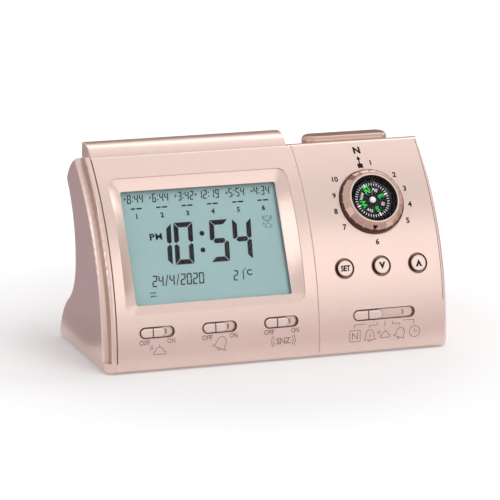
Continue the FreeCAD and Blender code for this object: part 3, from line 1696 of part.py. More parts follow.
def screw_set(label, top, holes, put):
    """The screws of one board, set in the board's frame."""
    bodies = []
    head_top = top - d.board_thickness
    head_low = head_top - d.board_screw_head_height
    for index, (x, y) in enumerate(holes):
        screw = turned("%s_screw_%d" % (label, index), [
            (0.0, head_low), (d.board_screw_head / 2, head_low), (d.board_screw_head / 2, head_top),
            (d.board_screw_shank / 2, head_top), (d.board_screw_shank / 2, head_top + d.board_screw_length),
            (0.0, head_top + d.board_screw_length),
        ])
        bodies.append(place(screw, x, y, 0.0))
    return put(group(label + "_screws", bodies))


# ---------------------------------------------------------------- city dial and compass

def dial_ring():
    """The turning ring: skirt, faceted slope, lip, and the hub that runs in the panel."""
    body = new_body("dial_ring")
    radius = d.dial_diameter / 2
    hub = d.hub_diameter / 2
    bore = d.compass_diameter / 2 + d.compass_fit
    groove_top = dial_boss_low - d.seat_gap
    groove_low = groove_top - d.clip_thickness
    neck = hub - d.clip_bite
    corners = [
        (0.0, d.dial_skirt), (radius, d.dial_skirt), (radius, -d.dial_recess), (hub, -d.dial_recess),
        (hub, groove_top), (neck, groove_top), (neck, groove_low), (hub, groove_low),
        (hub, dial_hub_low), (0.0, dial_hub_low),
    ]
    revolve(body, closed_outline(plane_sketch(body, "XZ_Plane"), corners), "V_Axis")
    facets = int(number(d.dial_facets))
    slope = body.newObject("PartDesign::AdditiveLoft", "dial_slope")
    slope.Profile = closed_outline(plane_sketch(body, "XY_Plane", d.dial_skirt), many_sided(facets, radius))
    narrow = many_sided(facets, d.dial_top_diameter / 2)
    slope.Sections = [closed_outline(plane_sketch(body, "XY_Plane", d.dial_rise), narrow)]
    slope.Ruled = True
    top = d.dial_rise + 1
    mouth = circle(plane_sketch(body, "XY_Plane", top), 0.0, 0.0, bore)
    pocket(body, mouth, top + d.compass_floor_depth)
    return node(at_dial(body))


def many_sided(count, radius):
    corners = []
    for index in range(count):
        angle = FULL_TURN / count * index
        corners.append((radius * cosine(angle), radius * sine(angle)))
    return corners


def compass():
    outer = d.compass_diameter / 2
    inner = outer - d.compass_wall
    low = -d.compass_floor_depth
    floor = low + d.compass_wall
    rim = d.compass_rim_height
    bowl = [(0.0, low), (outer, low), (outer, rim), (inner, rim), (inner, floor), (0.0, floor)]
    node(at_dial(turned("compass_case", bowl)))
    height = d.dome_height
    sphere = (outer * outer + height * height) / (2 * height)
    thickness = d.dome_thickness
    inside = sphere - thickness
    drop = sphere - height
    inner_edge = root(inside * inside - drop * drop)
    dome = turned("compass_dome", [
        (inner_edge, rim), (outer, rim), (0.0, rim + height, sphere, LEFT), (0.0, rim + height - thickness),
        (inner_edge, rim, inside, RIGHT),
    ][1:])
    node(at_dial(dome))
    card_low = d.card_height
    card_top = card_low + d.card_thickness
    pin_top = card_top + d.cap_height / 2
    pin = d.pin_diameter / 2
    socket = pin + d.pin_fit
    node(at_dial(cylinder("compass_pin", d.pin_diameter, floor, pin_top)))
    node(at_dial(ring("compass_card", d.card_diameter, d.cap_diameter, card_low, card_top)))
    cap = d.cap_diameter / 2
    cap_corners = [
        (socket, card_low), (cap, card_low), (cap, card_top + d.cap_height / 2),
        (d.cap_top_diameter / 2, card_top + d.cap_height), (0.0, card_top + d.cap_height),
        (0.0, pin_top), (socket, pin_top),
    ]
    node(at_dial(turned("card_cap", cap_corners)))
    magnet = block("card_magnet_bar", -d.magnet_width / 2, d.magnet_width / 2, -d.magnet_length / 2,
                   d.magnet_length / 2, card_low - d.magnet_thickness, card_low)
    hole = cylinder("card_magnet_hole", d.magnet_bore, card_low - d.reach, card_low + d.reach)
    node(at_dial(group("card_magnet", [cut("card_magnet_solid", magnet, hole)])))


def dial_underside():
    """The clip that keeps the dial in the panel and the wiper that reads its position."""
    neck = d.hub_diameter / 2 - d.clip_bite
    top = dial_boss_low - d.seat_gap
    body = new_body("dial_clip")
    corners = rectangle(neck, neck + d.clip_width, top - d.clip_thickness, top)
    outline = closed_outline(plane_sketch(body, "XZ_Plane"), corners)
    revolve(body, outline, "V_Axis", FULL_TURN - d.clip_opening)
    node(at_dial(body))
    disc = cylinder("wiper_disc", d.wiper_diameter, dial_hub_low - d.wiper_thickness, dial_hub_low)
    offset = d.wiper_diameter / 2 - d.wiper_finger_inset
    finger_top = dial_hub_low - d.wiper_thickness / 2
    fingers = [
        cylinder("wiper_finger_%d" % index, d.wiper_finger, dial_board_top, finger_top, sign * offset)
        for index, sign in enumerate((-1, 1))
    ]
    node(at_dial(group("dial_wiper", [fuse("dial_wiper_solid", [disc] + fingers)])))


# ---------------------------------------------------------------- push buttons and press switches

def button_cap(label, x):
    radius = d.button_diameter / 2
    edge = d.button_edge
    flange = d.button_flange_diameter / 2
    stem = d.stem_diameter / 2
    cap = turned(label, [
        (0.0, stem_low), (stem, stem_low), (stem, flange_low), (flange, flange_low), (flange, flange_top),
        (radius, flange_top), (radius, d.button_rise - edge), (radius - edge, d.button_rise, edge, LEFT),
        (0.0, d.button_rise),
    ])
    node(on_front(cap, x, d.button_lean))


def plunger(label, low, high):
    return cylinder(label, d.plunger_diameter, low, high)


def tact_switch(label, top, x=0.0, y=0.0):
    """A press switch: a square case with a bore for its plunger."""
    half = d.tact_width / 2
    case = block(label + "_case", x - half, x + half, y - half, y + half, top - d.tact_height, top)
    bore = cylinder(label + "_bore", d.plunger_diameter + 2 * d.plunger_fit,
                    top - d.tact_bore_depth, top + d.reach, x, y)
    return cut(label, case, bore)


def front_buttons():
    switches = []
    for name, x in button_places.items():
        button_cap(name + "_button", x)
        node(on_front(plunger(name + "_plunger", tact_top - d.plunger_depth, stem_low), x, d.button_lean))
        switch = group(name + "_switch", [tact_switch(name + "_tact", tact_top)])
        switches.append(on_front(switch, x, d.button_lean))
    node(group("button_switches", switches))


def top_switches():
    switches = []
    for name, x in (("snooze", bar_middle_x), ("light", light_x)):
        switches.append(tact_switch(name + "_tact", top_tact_top, x, key_y))
        node(cylinder(name + "_plunger", d.plunger_diameter, top_tact_top - d.plunger_depth,
                      top_plunger_top, x, key_y))
    node(group("top_switches", switches))


# ---------------------------------------------------------------- slide switches

def slide_knob(name, slot_x, slot_length, length, travel):
    """A knob with two cushions, its stem in the slit, the lever of its switch and the switch case."""
    rest_x = slot_x - travel / 2
    height = d.slot_height - 2 * d.slot_side_gap
    body = new_body(name + "_knob")
    low = -d.slot_depth
    pad(body, stadium(plane_sketch(body, "XY_Plane", low), length, height), d.knob_rise - low)

    def top_edge(edge):
        box = edge.BoundBox
        return box.ZLength < 0.01 and near(box.ZMin, d.knob_rise)

    round_edges(body, top_edge, d.knob_edge)
    half = d.knob_groove_width / 2
    groove = rectangle(-half, half, -height, height)
    pocket(body, closed_outline(plane_sketch(body, "XY_Plane", d.knob_rise), groove), d.knob_groove_depth)
    stem = rectangle(-d.stem_width / 2, d.stem_width / 2, -d.stem_height / 2, d.stem_height / 2)
    stem_sketch = closed_outline(plane_sketch(body, "XY_Plane", -d.stem_reach), stem)
    pad(body, stem_sketch, d.stem_reach - d.slot_depth)
    half_x = d.lever_width / 2 + d.lever_fit
    half_y = d.lever_thickness / 2 + d.lever_fit
    socket = rectangle(-half_x, half_x, -half_y, half_y)
    pocket(body, closed_outline(plane_sketch(body, "XY_Plane", -d.stem_reach), socket),
           d.stem_reach - d.lever_top, downwards=False)
    node(on_front(body, rest_x, d.slot_lean))
    lever = block(name + "_lever", -d.lever_width / 2, d.lever_width / 2, -d.lever_thickness / 2,
                  d.lever_thickness / 2, -d.lever_depth, -d.lever_top)
    node(on_front(lever, rest_x, d.slot_lean))
    half_x = (travel + d.lever_width) / 2 + d.slide_switch_cap
    half_y = d.slide_switch_width / 2
    case = block(name + "_slide_case", -half_x, half_x, -half_y, half_y, switch_board_top, switch_top)
    half_x = (travel + d.lever_width) / 2 + d.lever_fit
    half_y = d.lever_thickness / 2 + d.lever_fit
    bore = block(name + "_slide_bore", -half_x, half_x, -half_y, half_y, switch_top - d.slide_switch_bore,
                 switch_top + 1)
    return on_front(group(name + "_slide", [cut(name + "_slide_solid", case, bore)]), slot_x, d.slot_lean)


def slide_switches():
    cases = [
        slide_knob(name, x, d.slot_length, d.knob_length, knob_travel)
        for name, x in slot_places.items()
    ]
    cases.append(slide_knob("mode", mode_x, d.mode_slot_length, d.mode_knob_length, mode_travel))
    node(group("slide_switches", cases))


# ---------------------------------------------------------------- keys on the crown

def key_post(label, top, low, x):
    """A guide post with a slit snap head under the deck."""
    radius = d.guide_diameter / 2
    head = radius + d.guide_head
    post = turned(label + "_post", [
        (0.0, low - d.guide_head_height), (radius, low - d.guide_head_height), (head, low), (radius, low),
        (radius, top), (0.0, top),
    ])
    slit = block(label + "_slit", -d.slit_width / 2, d.slit_width / 2, -head, head,
                 low - d.guide_head_height - 1, low + 2 * d.guide_head_height)
    return place(group(label, [cut(label + "_solid", post, slit)]), x, key_y, 0.0)


def snooze_bar():
    """The long key: rounded over at the front, open below, on two guide posts with springs."""
    back = case_y(bar_back)
    corners = [
        (case_y(bar_front), case_z(bar_front_low)),
        (case_y(bar_ridge), case_z(bar_top), d.bar_round, RIGHT),
        (back - d.bar_back_round, case_z(bar_top)),
        (back, case_z(bar_top) - d.bar_back_round, d.bar_back_round, RIGHT),
        (back, case_z(bar_back_low)),
    ]
    left = bar_middle_x - bar_half
    right = bar_middle_x + bar_half
    solid = side_block("bar_block", corners, left, right)

    def end_edge(edge):
        box = edge.BoundBox
        return box.XLength < 0.01 and box.ZMax > number(case_z(bar_front_low)) + 1

    round_edges(solid, end_edge, d.button_edge)
    half = d.bar_hollow_width / 2
    hollow = block("bar_hollow", left + d.bar_wall, right - d.bar_wall, key_y - half, key_y + half,
                   case_z(deck_floor), case_z(bar_hollow_top))
    shell = cut("bar_shell", solid, hollow)
    top = case_z(bar_hollow_top) + d.bar_wall / 2
    posts = [
        key_post("bar_guide_%d" % index, top, guide_low, bar_middle_x + sign * bar_guide_x)
        for index, sign in enumerate((-1, 1))
    ]
    stem = cylinder("bar_stem", d.stem_diameter, top_plunger_top, top, bar_middle_x, key_y)
    node(fuse("snooze_bar", [shell, stem] + posts))
    springs = [
        coil("bar_coil_%d" % index, bar_middle_x + sign * bar_guide_x, key_y, spring_seat,
             d.spring_coil, d.spring_wire, d.spring_turns, case_z(bar_hollow_top) - spring_seat)
        for index, sign in enumerate((-1, 1))
    ]
    node(group("bar_springs", springs))


def light_button():
    """The shorter key with round ends and a rounded top edge."""
    top = case_z(light_top)
    low = case_z(light_low)
    solid = stadium_block("light_block", d.light_length, d.light_width, low, top, light_x, key_y)

    def top_edge(edge):
        box = edge.BoundBox
        return box.ZLength < 0.01 and near(box.ZMin, top)

    round_edges(solid, top_edge, d.light_edge)
    wall = 2 * d.light_wall
    ceiling = top - d.light_edge
    hollow = stadium_block("light_hollow", d.light_length - wall, d.light_width - wall, low - 1, ceiling,
                           light_x, key_y)
    posts = [
        key_post("light_guide_%d" % index, ceiling + d.light_wall / 2, guide_low,
                 light_x + sign * d.light_guide_span / 2)
        for index, sign in enumerate((-1, 1))
    ]
    stem = cylinder("light_stem", d.stem_diameter, top_plunger_top, ceiling + d.light_wall / 2,
                    light_x, key_y)
    node(fuse("light_button", [cut("light_shell", solid, hollow), stem] + posts))


# ---------------------------------------------------------------- wiring

def front_point(lean, up, depth):
    """Depth and height of a point given in the frame of a place on the front."""
    y = axis_y - d.front_radius * cosine(lean) + up * sine(lean) - depth * cosine(lean)
    z = axis_z + d.front_radius * sine(lean) + up * cosine(lean) + depth * sine(lean)
    return y, z


def bent_wire(label, x, start, corner, finish, tilt):
    """A round wire in an upright plane: straight, one bend, straight."""
    first = leg(label + "_first", start, corner)
    second = leg(label + "_second", corner, finish)
    turn = first[0] * second[1] - first[1] * second[0]
    straight = first[0] * second[0] + first[1] * second[1]
    size = turn if number(turn) > 0 else -turn
    trim = named(label + "_trim", d.lead_bend * size / (1 + straight))
    side = LEFT if number(turn) > 0 else RIGHT
    path = doc.addObject("Sketcher::SketchObject", label + "_path")
    path.Placement = FreeCAD.Placement(FreeCAD.Vector(0, 0, 0), FreeCAD.Rotation(0.5, 0.5, 0.5, 0.5))
    path.setExpression("Placement.Base.x", formula(x))
    open_path(path, [
        start,
        (corner[0] - trim * first[0], corner[1] - trim * first[1]),
        (corner[0] + trim * second[0], corner[1] + trim * second[1], d.lead_bend, side),
        finish,
    ])
    section = doc.addObject("Part::Circle", label + "_section")
    bind(section, "Radius", d.lead_diameter / 2)
    place(section, x, start[0], start[1], tilt)
    sweep = doc.addObject("Part::Sweep", label)
    sweep.Sections = [section]
    sweep.Spine = (path, ["Edge1", "Edge2", "Edge3"])
    sweep.Solid = True
    return sweep


def leg(name, start, finish):
    """The direction from one point to another."""
    dy = finish[0] - start[0]
    dz = finish[1] - start[1]
    length = named(name + "_length", root(dy * dy + dz * dz))
    return named(name + "_dy", dy / length), named(name + "_dz", dz / length)


def open_path(sketch, points):
    """Lines and arcs from point to point, without closing."""
    previous = None
    for start_item, item in zip(points, points[1:]):
        start = FreeCAD.Vector(number(start_item[0]), number(start_item[1]), 0)
        finish = FreeCAD.Vector(number(item[0]), number(item[1]), 0)
        first, last = 1, 2
        if len(item) == 2:
            edge = sketch.addGeometry(Part.LineSegment(start, finish), False)
        else:
            edge = sketch.addGeometry(arc_between(start, finish, number(item[2]), item[3]), False)
            first, last = (1, 2) if item[3] == LEFT else (2, 1)
            fix(sketch, Sketcher.Constraint("Radius", edge, number(item[2])), item[2])
        if previous is None:
            fix_point(sketch, edge, first, start_item[0], start_item[1])
        else:
            sketch.addConstraint(Sketcher.Constraint("Coincident", previous[0], previous[1], edge, first))
        fix_point(sketch, edge, last, item[0], item[1])
        previous = (edge, last)


def speaker_leads():
    """Two leads from the rim of the speaker straight to the main board."""
    tilt = speaker_tilt
    back = d.speaker_seat_depth + d.speaker_flange
    base_y = back_centre[0] - back_radius * cosine(tilt)
    base_z = back_centre[1] + back_radius * sine(tilt)
    start = (named("lead_start_y", base_y - back * cosine(tilt)),
             named("lead_start_z", base_z + back * sine(tilt)))
    run = d.chip_diameter / 2
    corner = (named("lead_corner_y", start[0] - run * cosine(tilt)),
              named("lead_corner_z", start[1] + run * sine(tilt)))
    leads = []
    for index, sign in enumerate((-1, 1)):
        x = speaker_x + sign * (d.speaker_diameter / 2 - d.speaker_seat_width / 2)
        finish = board_meeting("speaker_lead_%d" % index, corner)
        leads.append(bent_wire("speaker_lead_%d" % index, x, start, corner, finish, 90 - tilt))
    node(group("speaker_leads", leads))


def board_meeting(name, corner):
    """Where a wire that runs square to the main board arrives at the back of it."""
    lean = d.display_lean
    base = front_point(lean, 0.0, board_top - d.board_thickness)
    off = (corner[0] - base[0]) * cosine(lean) - (corner[1] - base[1]) * sine(lean)
    off = named(name + "_off", off)
    return (named(name + "_end_y", corner[0] - off * cosine(lean)),
            named(name + "_end_z", corner[1] + off * sine(lean)))


def battery_leads():
    """Two leads that stand on the solder tabs and bend over to the main board."""
    leads = []
    x = -(d.bay_half + d.bay_wall + d.tab_reach / 2)
    for index, (y, rise) in enumerate(zip(cell_ys, (d.front_lead_rise, d.rear_lead_rise))):
        start = (y, cell_z + d.plate_thickness / 2)
        corner = (y, named("battery_corner_%d" % index, cell_z + rise))
        finish = board_meeting("battery_lead_%d" % index, corner)
        leads.append(bent_wire("battery_lead_%d" % index, x, start, corner, finish, 0.0))
    node(group("battery_leads", leads))


def ribbon(label, x, upper, lower):
    """A flat cable between the backs of two boards; each end is (lean, place up the board, face)."""
    thin = d.ribbon_thickness
    out = d.ribbon_loop + thin
    corners = [
        front_point(upper[0], upper[1], upper[2]),
        front_point(upper[0], upper[1], upper[2] - out),
        front_point(lower[0], lower[1], lower[2] - out),
        front_point(lower[0], lower[1], lower[2]),
        front_point(lower[0], lower[1] + thin, lower[2]),
        front_point(lower[0], lower[1] + thin, lower[2] - d.ribbon_loop),
        front_point(upper[0], upper[1] - thin, upper[2] - d.ribbon_loop),
        front_point(upper[0], upper[1] - thin, upper[2]),
    ]
    return side_block(label, corners, x - d.ribbon_width / 2, x + d.ribbon_width / 2)


def ribbon_cables():
    """Flat cables: dial to buttons, buttons to switches, display to switches, display to the top keys."""
    thin = d.board_thickness
    dial_face = dial_board_top - thin
    button_face = button_board_top - thin
    switch_face = switch_board_top - thin
    main_face = board_top - thin
    dial_end = (d.dial_lean, -d.dial_board_height / 2 + d.ribbon_loop, dial_face)
    button_high = (d.button_lean, d.ribbon_loop, button_face)
    button_low = (d.button_lean, -d.ribbon_loop, button_face)
    switch_end = (d.slot_lean, d.ribbon_thickness, switch_face)
    main_low = (d.display_lean, window_low_y + d.ribbon_thickness, main_face)
    cables = [
        ribbon("dial_ribbon", dial_x, dial_end, button_high),
        ribbon("button_ribbon", dial_x, button_low, switch_end),
        ribbon("switch_ribbon", slot_middle_x + d.ribbon_width / 2, main_low, switch_end),
        top_ribbon(main_face),
    ]
    node(group("ribbon_cables", cables))


def top_ribbon(main_face):
    thin = d.ribbon_thickness
    out = d.ribbon_loop
    lean = d.display_lean
    up = d.chip_diameter
    y = key_y - d.ribbon_loop
    low = top_board_top - d.board_thickness
    corners = [
        (y, low), (y, low - out),
        front_point(lean, up, main_face - out), front_point(lean, up, main_face),
        front_point(lean, up - thin, main_face), front_point(lean, up - thin, main_face - out - thin),
        (y + thin, low - out - thin / 2), (y + thin, low),
    ]
    return side_block("top_ribbon", corners, -d.ribbon_width / 2, d.ribbon_width / 2)


front_housing()
rear_cover()
battery_door()
cell("battery_front", cell_ys[0], False)
cell("battery_rear", cell_ys[1], True)
contacts()
fasteners_and_feet()
speaker()
display_stack()
circuit_boards()
dial_ring()
compass()
dial_underside()
front_buttons()
top_switches()
slide_switches()
snooze_bar()
light_button()
speaker_leads()
battery_leads()
ribbon_cables()


def finish():
    doc.recompute()
    os.makedirs("parts", exist_ok=True)
    failed = [item.Name for item in doc.Objects if "Invalid" in item.State or "Error" in item.State]
    if failed:
        raise RuntimeError("failed objects: %s" % failed)
    for piece in NODES:
        shape = piece.Shape
        if shape.isNull() or not shape.isValid() or not shape.Solids:
            raise RuntimeError("bad shape: " + piece.Label)
    for piece in NODES:
        piece.Shape.exportStep(os.path.join("parts", piece.Label + ".step"))
        print(piece.Label, len(piece.Shape.Solids), round(piece.Shape.Volume, 1))


finish()
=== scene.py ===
import json
import math

import bmesh
import bpy
from mathutils import Matrix, Vector

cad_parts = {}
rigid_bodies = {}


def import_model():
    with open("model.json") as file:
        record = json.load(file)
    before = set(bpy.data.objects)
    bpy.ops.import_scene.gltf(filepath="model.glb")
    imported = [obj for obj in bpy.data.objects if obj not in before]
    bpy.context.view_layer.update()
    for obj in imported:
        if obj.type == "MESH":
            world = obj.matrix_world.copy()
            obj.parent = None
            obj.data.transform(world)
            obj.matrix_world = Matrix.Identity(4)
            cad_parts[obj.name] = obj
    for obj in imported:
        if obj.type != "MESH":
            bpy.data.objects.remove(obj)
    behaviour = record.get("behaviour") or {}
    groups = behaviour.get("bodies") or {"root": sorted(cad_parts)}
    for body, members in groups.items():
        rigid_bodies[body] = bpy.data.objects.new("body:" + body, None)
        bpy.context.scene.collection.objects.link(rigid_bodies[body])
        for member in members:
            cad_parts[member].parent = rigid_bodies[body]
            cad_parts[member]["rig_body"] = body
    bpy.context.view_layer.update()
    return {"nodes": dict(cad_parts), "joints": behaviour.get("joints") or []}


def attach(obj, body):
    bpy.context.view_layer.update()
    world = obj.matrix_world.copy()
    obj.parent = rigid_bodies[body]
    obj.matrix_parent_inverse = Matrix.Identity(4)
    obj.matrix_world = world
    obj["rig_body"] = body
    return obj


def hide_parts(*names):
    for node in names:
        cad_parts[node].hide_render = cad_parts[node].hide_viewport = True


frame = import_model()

MM = 0.001


# ---- places on the clock, worked out from the dial's axis: lengths in millimetres, leans in degrees

def joint(name):
    return next(item for item in frame["joints"] if item["name"] == name)


FRONT_RADIUS = 106.4
DIAL_FOOT = Vector(joint("dial_turn")["pos_m"])  # a point in metres, as the arc's centre is
DIAL_AXIS = Vector(joint("dial_turn")["axis"])
ARC_CENTRE = DIAL_FOOT - FRONT_RADIUS * MM * DIAL_AXIS
DIAL_X = DIAL_FOOT.x / MM
DIAL_LEAN = math.degrees(math.asin(DIAL_AXIS.z))
DISPLAY_X = -27.5
DISPLAY_LEAN = 28.4
BUTTON_LEAN = 19.5
BUTTON_PITCH = 16.2
SLOT_LEAN = 8.95
SLOT_PITCH = 26.57
SLOT_MIDDLE = DISPLAY_X + 0.7
MODE_SLOT = 44.9
SEAM_X = 70.3
SLOTS = (  # name, middle, length and travel of the knob
    ("azan", SLOT_MIDDLE - SLOT_PITCH, 14.6, 3.8),
    ("alarm", SLOT_MIDDLE, 14.6, 3.8),
    ("snooze", SLOT_MIDDLE + SLOT_PITCH, 14.6, 3.8),
    ("mode", MODE_SLOT, 27.0, 13.8),
)


def front_frame(x, lean):
    """A frame that stands on the curved front: X to the right, Y up along the panel, Z out of it."""
    angle = math.radians(lean)
    up = Vector((0, math.sin(angle), math.cos(angle)))
    out = Vector((0, -math.cos(angle), math.sin(angle)))
    foot = Vector((x * MM, ARC_CENTRE.y, ARC_CENTRE.z)) + FRONT_RADIUS * MM * out
    axes = Matrix((Vector((1, 0, 0)), up, out)).transposed()
    return Matrix.Translation(foot) @ axes.to_4x4()


def out_at(lean):
    """The way out of the curved front at a lean."""
    return front_frame(0, lean).col[2].to_3d()


def place_on_front(point):
    """Where a point lies on the curved front: across, its lean, and its height over the panel."""
    rise = point.z - ARC_CENTRE.z
    reach = ARC_CENTRE.y - point.y
    return point.x / MM, math.degrees(math.atan2(rise, reach)), math.hypot(rise, reach) / MM - FRONT_RADIUS


DIAL_FRAME = front_frame(DIAL_X, DIAL_LEAN)


# ---- camera, lamps and set, in metres

CAMERA_PLACE = (-0.492686, -1.277521, 0.398894)
CAMERA_TOWARD = (0.34604, 0.90308, -0.25437)
CAMERA_UP = (0.07073, 0.24524, 0.96688)
LENS_LENGTH = 248.15
LAMP_AIM = (0.0, 0.0, 0.04)
SHEET_ROUGHNESS = 0.9


def make_camera():
    """A long lens from the front left, a little above the clock."""
    data = bpy.data.cameras.new("camera")
    data.lens = LENS_LENGTH
    data.sensor_width = 36.0
    data.clip_start = 0.1
    data.clip_end = 30.0
    camera = bpy.data.objects.new("camera", data)
    bpy.context.scene.collection.objects.link(camera)
    toward = Vector(CAMERA_TOWARD).normalized()
    right = toward.cross(Vector(CAMERA_UP)).normalized()
    turn = Matrix((right, right.cross(toward), -toward)).transposed()
    camera.matrix_world = Matrix.Translation(Vector(CAMERA_PLACE)) @ turn.to_4x4()
    bpy.context.scene.camera = camera


def area_lamp(name, place, size, power, colour=(1.0, 1.0, 1.0), mirrored=True):
    """A soft box at a place, turned to face the clock, and shown in gloss or not."""
    data = bpy.data.lights.new(name, "AREA")
    data.shape = "RECTANGLE"
    data.size = size[0]
    data.size_y = size[1]
    data.energy = power
    data.color = colour
    lamp = bpy.data.objects.new(name, data)
    lamp.location = place
    lamp.rotation_euler = (Vector(LAMP_AIM) - Vector(place)).to_track_quat("-Z", "Y").to_euler()
    lamp.visible_camera = False
    lamp.visible_glossy = mirrored
    bpy.context.scene.collection.objects.link(lamp)


def make_lamps():
    area_lamp("key_box", (0.30, -0.35, 1.05), (0.6, 0.5), 3.4, mirrored=False)
    area_lamp("front_box", (0.60, -1.4, 0.70), (1.2, 0.9), 2.2, (1.0, 0.98, 0.94))
    area_lamp("top_box", (0.40, 0.05, 1.20), (1.0, 0.8), 0.45)
    area_lamp("strip_box", (0.44, 0.46, 1.07), (1.1, 0.20), 1.6)
    area_lamp("left_box", (-0.95, -0.45, 0.60), (0.5, 0.5), 1.0)
    area_lamp("right_box", (0.95, 0.15, 0.60), (0.5, 0.4), 1.0)


def stage_sheet(name, middle, size, tilt, swing, colour, shine):
    """A flat piece of the set in one dull colour, turned and moved to its place."""
    mesh = bpy.data.meshes.new(name)
    bm = bmesh.new()
    bmesh.ops.create_grid(bm, x_segments=1, y_segments=1, size=0.5)
    bmesh.ops.scale(bm, vec=(size[0], size[1], 1), verts=bm.verts)
    turn = Matrix.Rotation(math.radians(swing), 3, "Z") @ Matrix.Rotation(math.radians(tilt), 3, "X")
    bmesh.ops.rotate(bm, cent=(0, 0, 0), matrix=turn, verts=bm.verts)
    bmesh.ops.translate(bm, vec=Vector(middle), verts=bm.verts)
    bm.to_mesh(mesh)
    bm.free()
    sheet = bpy.data.objects.new(name, mesh)
    bpy.context.scene.collection.objects.link(sheet)
    material = bpy.data.materials.new(name)
    material.use_nodes = True
    surface = material.node_tree.nodes["Principled BSDF"]
    surface.inputs["Base Color"].default_value = (*colour, 1)
    surface.inputs["Roughness"].default_value = SHEET_ROUGHNESS
    surface.inputs["Specular IOR Level"].default_value = shine
    mesh.materials.append(material)
    return sheet


def dark_card(name, middle, size, tilt, swing, colour):
    """A card that only gloss shows: it stands or lies near the clock and gives its skin a darker side."""
    card = stage_sheet(name, middle, size, tilt, swing, colour, 0.0)
    card.visible_camera = False
    card.visible_diffuse = False
    card.visible_transmission = False
    card.visible_shadow = False


def make_cards():
    dark_card("side_card", (-0.29, 0.38, 0.002), (0.42, 0.75), 0.0, 0.0, (0.58, 0.48, 0.53))
    dark_card("back_card", (0.30, 0.80, 0.41), (0.95, 0.80), 90.0, 0.0, (0.30, 0.20, 0.16))
    dark_card("right_card", (0.80, 0.10, 0.11), (0.80, 0.22), 90.0, 90.0, (0.28, 0.17, 0.13))
    dark_card("front_card", (0.12, -0.19, 0.002), (0.90, 0.28), 0.0, 0.0, (0.84, 0.74, 0.78))


def seen_rays(nodes, links):
    """1 for what the camera, a mirror or clear plastic sees, and 0 for the light that falls."""
    path = nodes.new("ShaderNodeLightPath")
    seen = None
    for ray in ("Is Camera Ray", "Is Glossy Ray", "Is Transmission Ray"):
        if seen is None:
            seen = path.outputs[ray]
            continue
        step = nodes.new("ShaderNodeMath")
        step.operation = "MAXIMUM"
        links.new(seen, step.inputs[0])
        links.new(path.outputs[ray], step.inputs[1])
        seen = step.outputs[0]
    return seen


def make_world():
    """White where it is seen, and a plain grey light where it falls."""
    world = bpy.data.worlds.new("studio")
    bpy.context.scene.world = world
    world.use_nodes = True
    nodes, links = world.node_tree.nodes, world.node_tree.links
    nodes.clear()
    output = nodes.new("ShaderNodeOutputWorld")
    mix = nodes.new("ShaderNodeMixShader")
    falling = nodes.new("ShaderNodeBackground")
    falling.inputs["Color"].default_value = (0.93, 0.90, 0.92, 1)
    falling.inputs["Strength"].default_value = 0.4
    backdrop = nodes.new("ShaderNodeBackground")
    backdrop.inputs["Strength"].default_value = 1.0
    links.new(seen_rays(nodes, links), mix.inputs[0])
    links.new(falling.outputs[0], mix.inputs[1])
    links.new(backdrop.outputs[0], mix.inputs[2])
    links.new(mix.outputs[0], output.inputs[0])


def make_table():
    """A white table whose glow, seen by the camera and by gloss, is weaker near the clock and stronger
    further out: painted light that fades it into the white around it, and leaves it darker round the clock,
    where it keeps the shadow.
    """
    table = stage_sheet("table_top", (0, 0, 0), (12.0, 12.0), 0.0, 0.0, (0.86, 0.86, 0.86), 0.1)
    tree = table.active_material.node_tree
    nodes, links = tree.nodes, tree.links
    surface = nodes["Principled BSDF"]
    surface.inputs["Emission Color"].default_value = (1, 1, 1, 1)
    place = nodes.new("ShaderNodeTexCoord")
    reach = nodes.new("ShaderNodeVectorMath")
    reach.operation = "LENGTH"
    links.new(place.outputs["Object"], reach.inputs[0])
    # Painted light: the glow grows from 0.2 near the clock to 0.5 further out.
    fade = nodes.new("ShaderNodeMapRange")
    fade.inputs["From Min"].default_value = 0.08
    fade.inputs["From Max"].default_value = 0.20
    fade.inputs["To Min"].default_value = 0.20
    fade.inputs["To Max"].default_value = 0.5
    links.new(reach.outputs["Value"], fade.inputs["Value"])
    gain = nodes.new("ShaderNodeMath")
    gain.operation = "MULTIPLY"
    links.new(seen_rays(nodes, links), gain.inputs[0])
    links.new(fade.outputs["Result"], gain.inputs[1])
    links.new(gain.outputs[0], surface.inputs["Emission Strength"])


# ---- effects that several finishes share

def new_group(name, inputs, outputs):
    group = bpy.data.node_groups.new(name, "ShaderNodeTree")
    for title, kind, value in inputs:
        socket = group.interface.new_socket(name=title, in_out="INPUT", socket_type=kind)
        if value is not None:
            socket.default_value = value
    for title, kind in outputs:
        group.interface.new_socket(name=title, in_out="OUTPUT", socket_type=kind)
    start = group.nodes.new("NodeGroupInput")
    end = group.nodes.new("NodeGroupOutput")
    return group, start, end


def grain_group():
    """Fine even grain of a moulded or sprayed surface, as a height."""
    group, start, end = new_group(
        "fine grain", [("Scale", "NodeSocketFloat", 4000.0), ("Detail", "NodeSocketFloat", 2.0)],
        [("Height", "NodeSocketFloat")])
    place = group.nodes.new("ShaderNodeTexCoord")
    noise = group.nodes.new("ShaderNodeTexNoise")
    group.links.new(place.outputs["Object"], noise.inputs["Vector"])
    group.links.new(start.outputs["Scale"], noise.inputs["Scale"])
    group.links.new(start.outputs["Detail"], noise.inputs["Detail"])
    group.links.new(noise.outputs["Fac"], end.inputs["Height"])
    return group


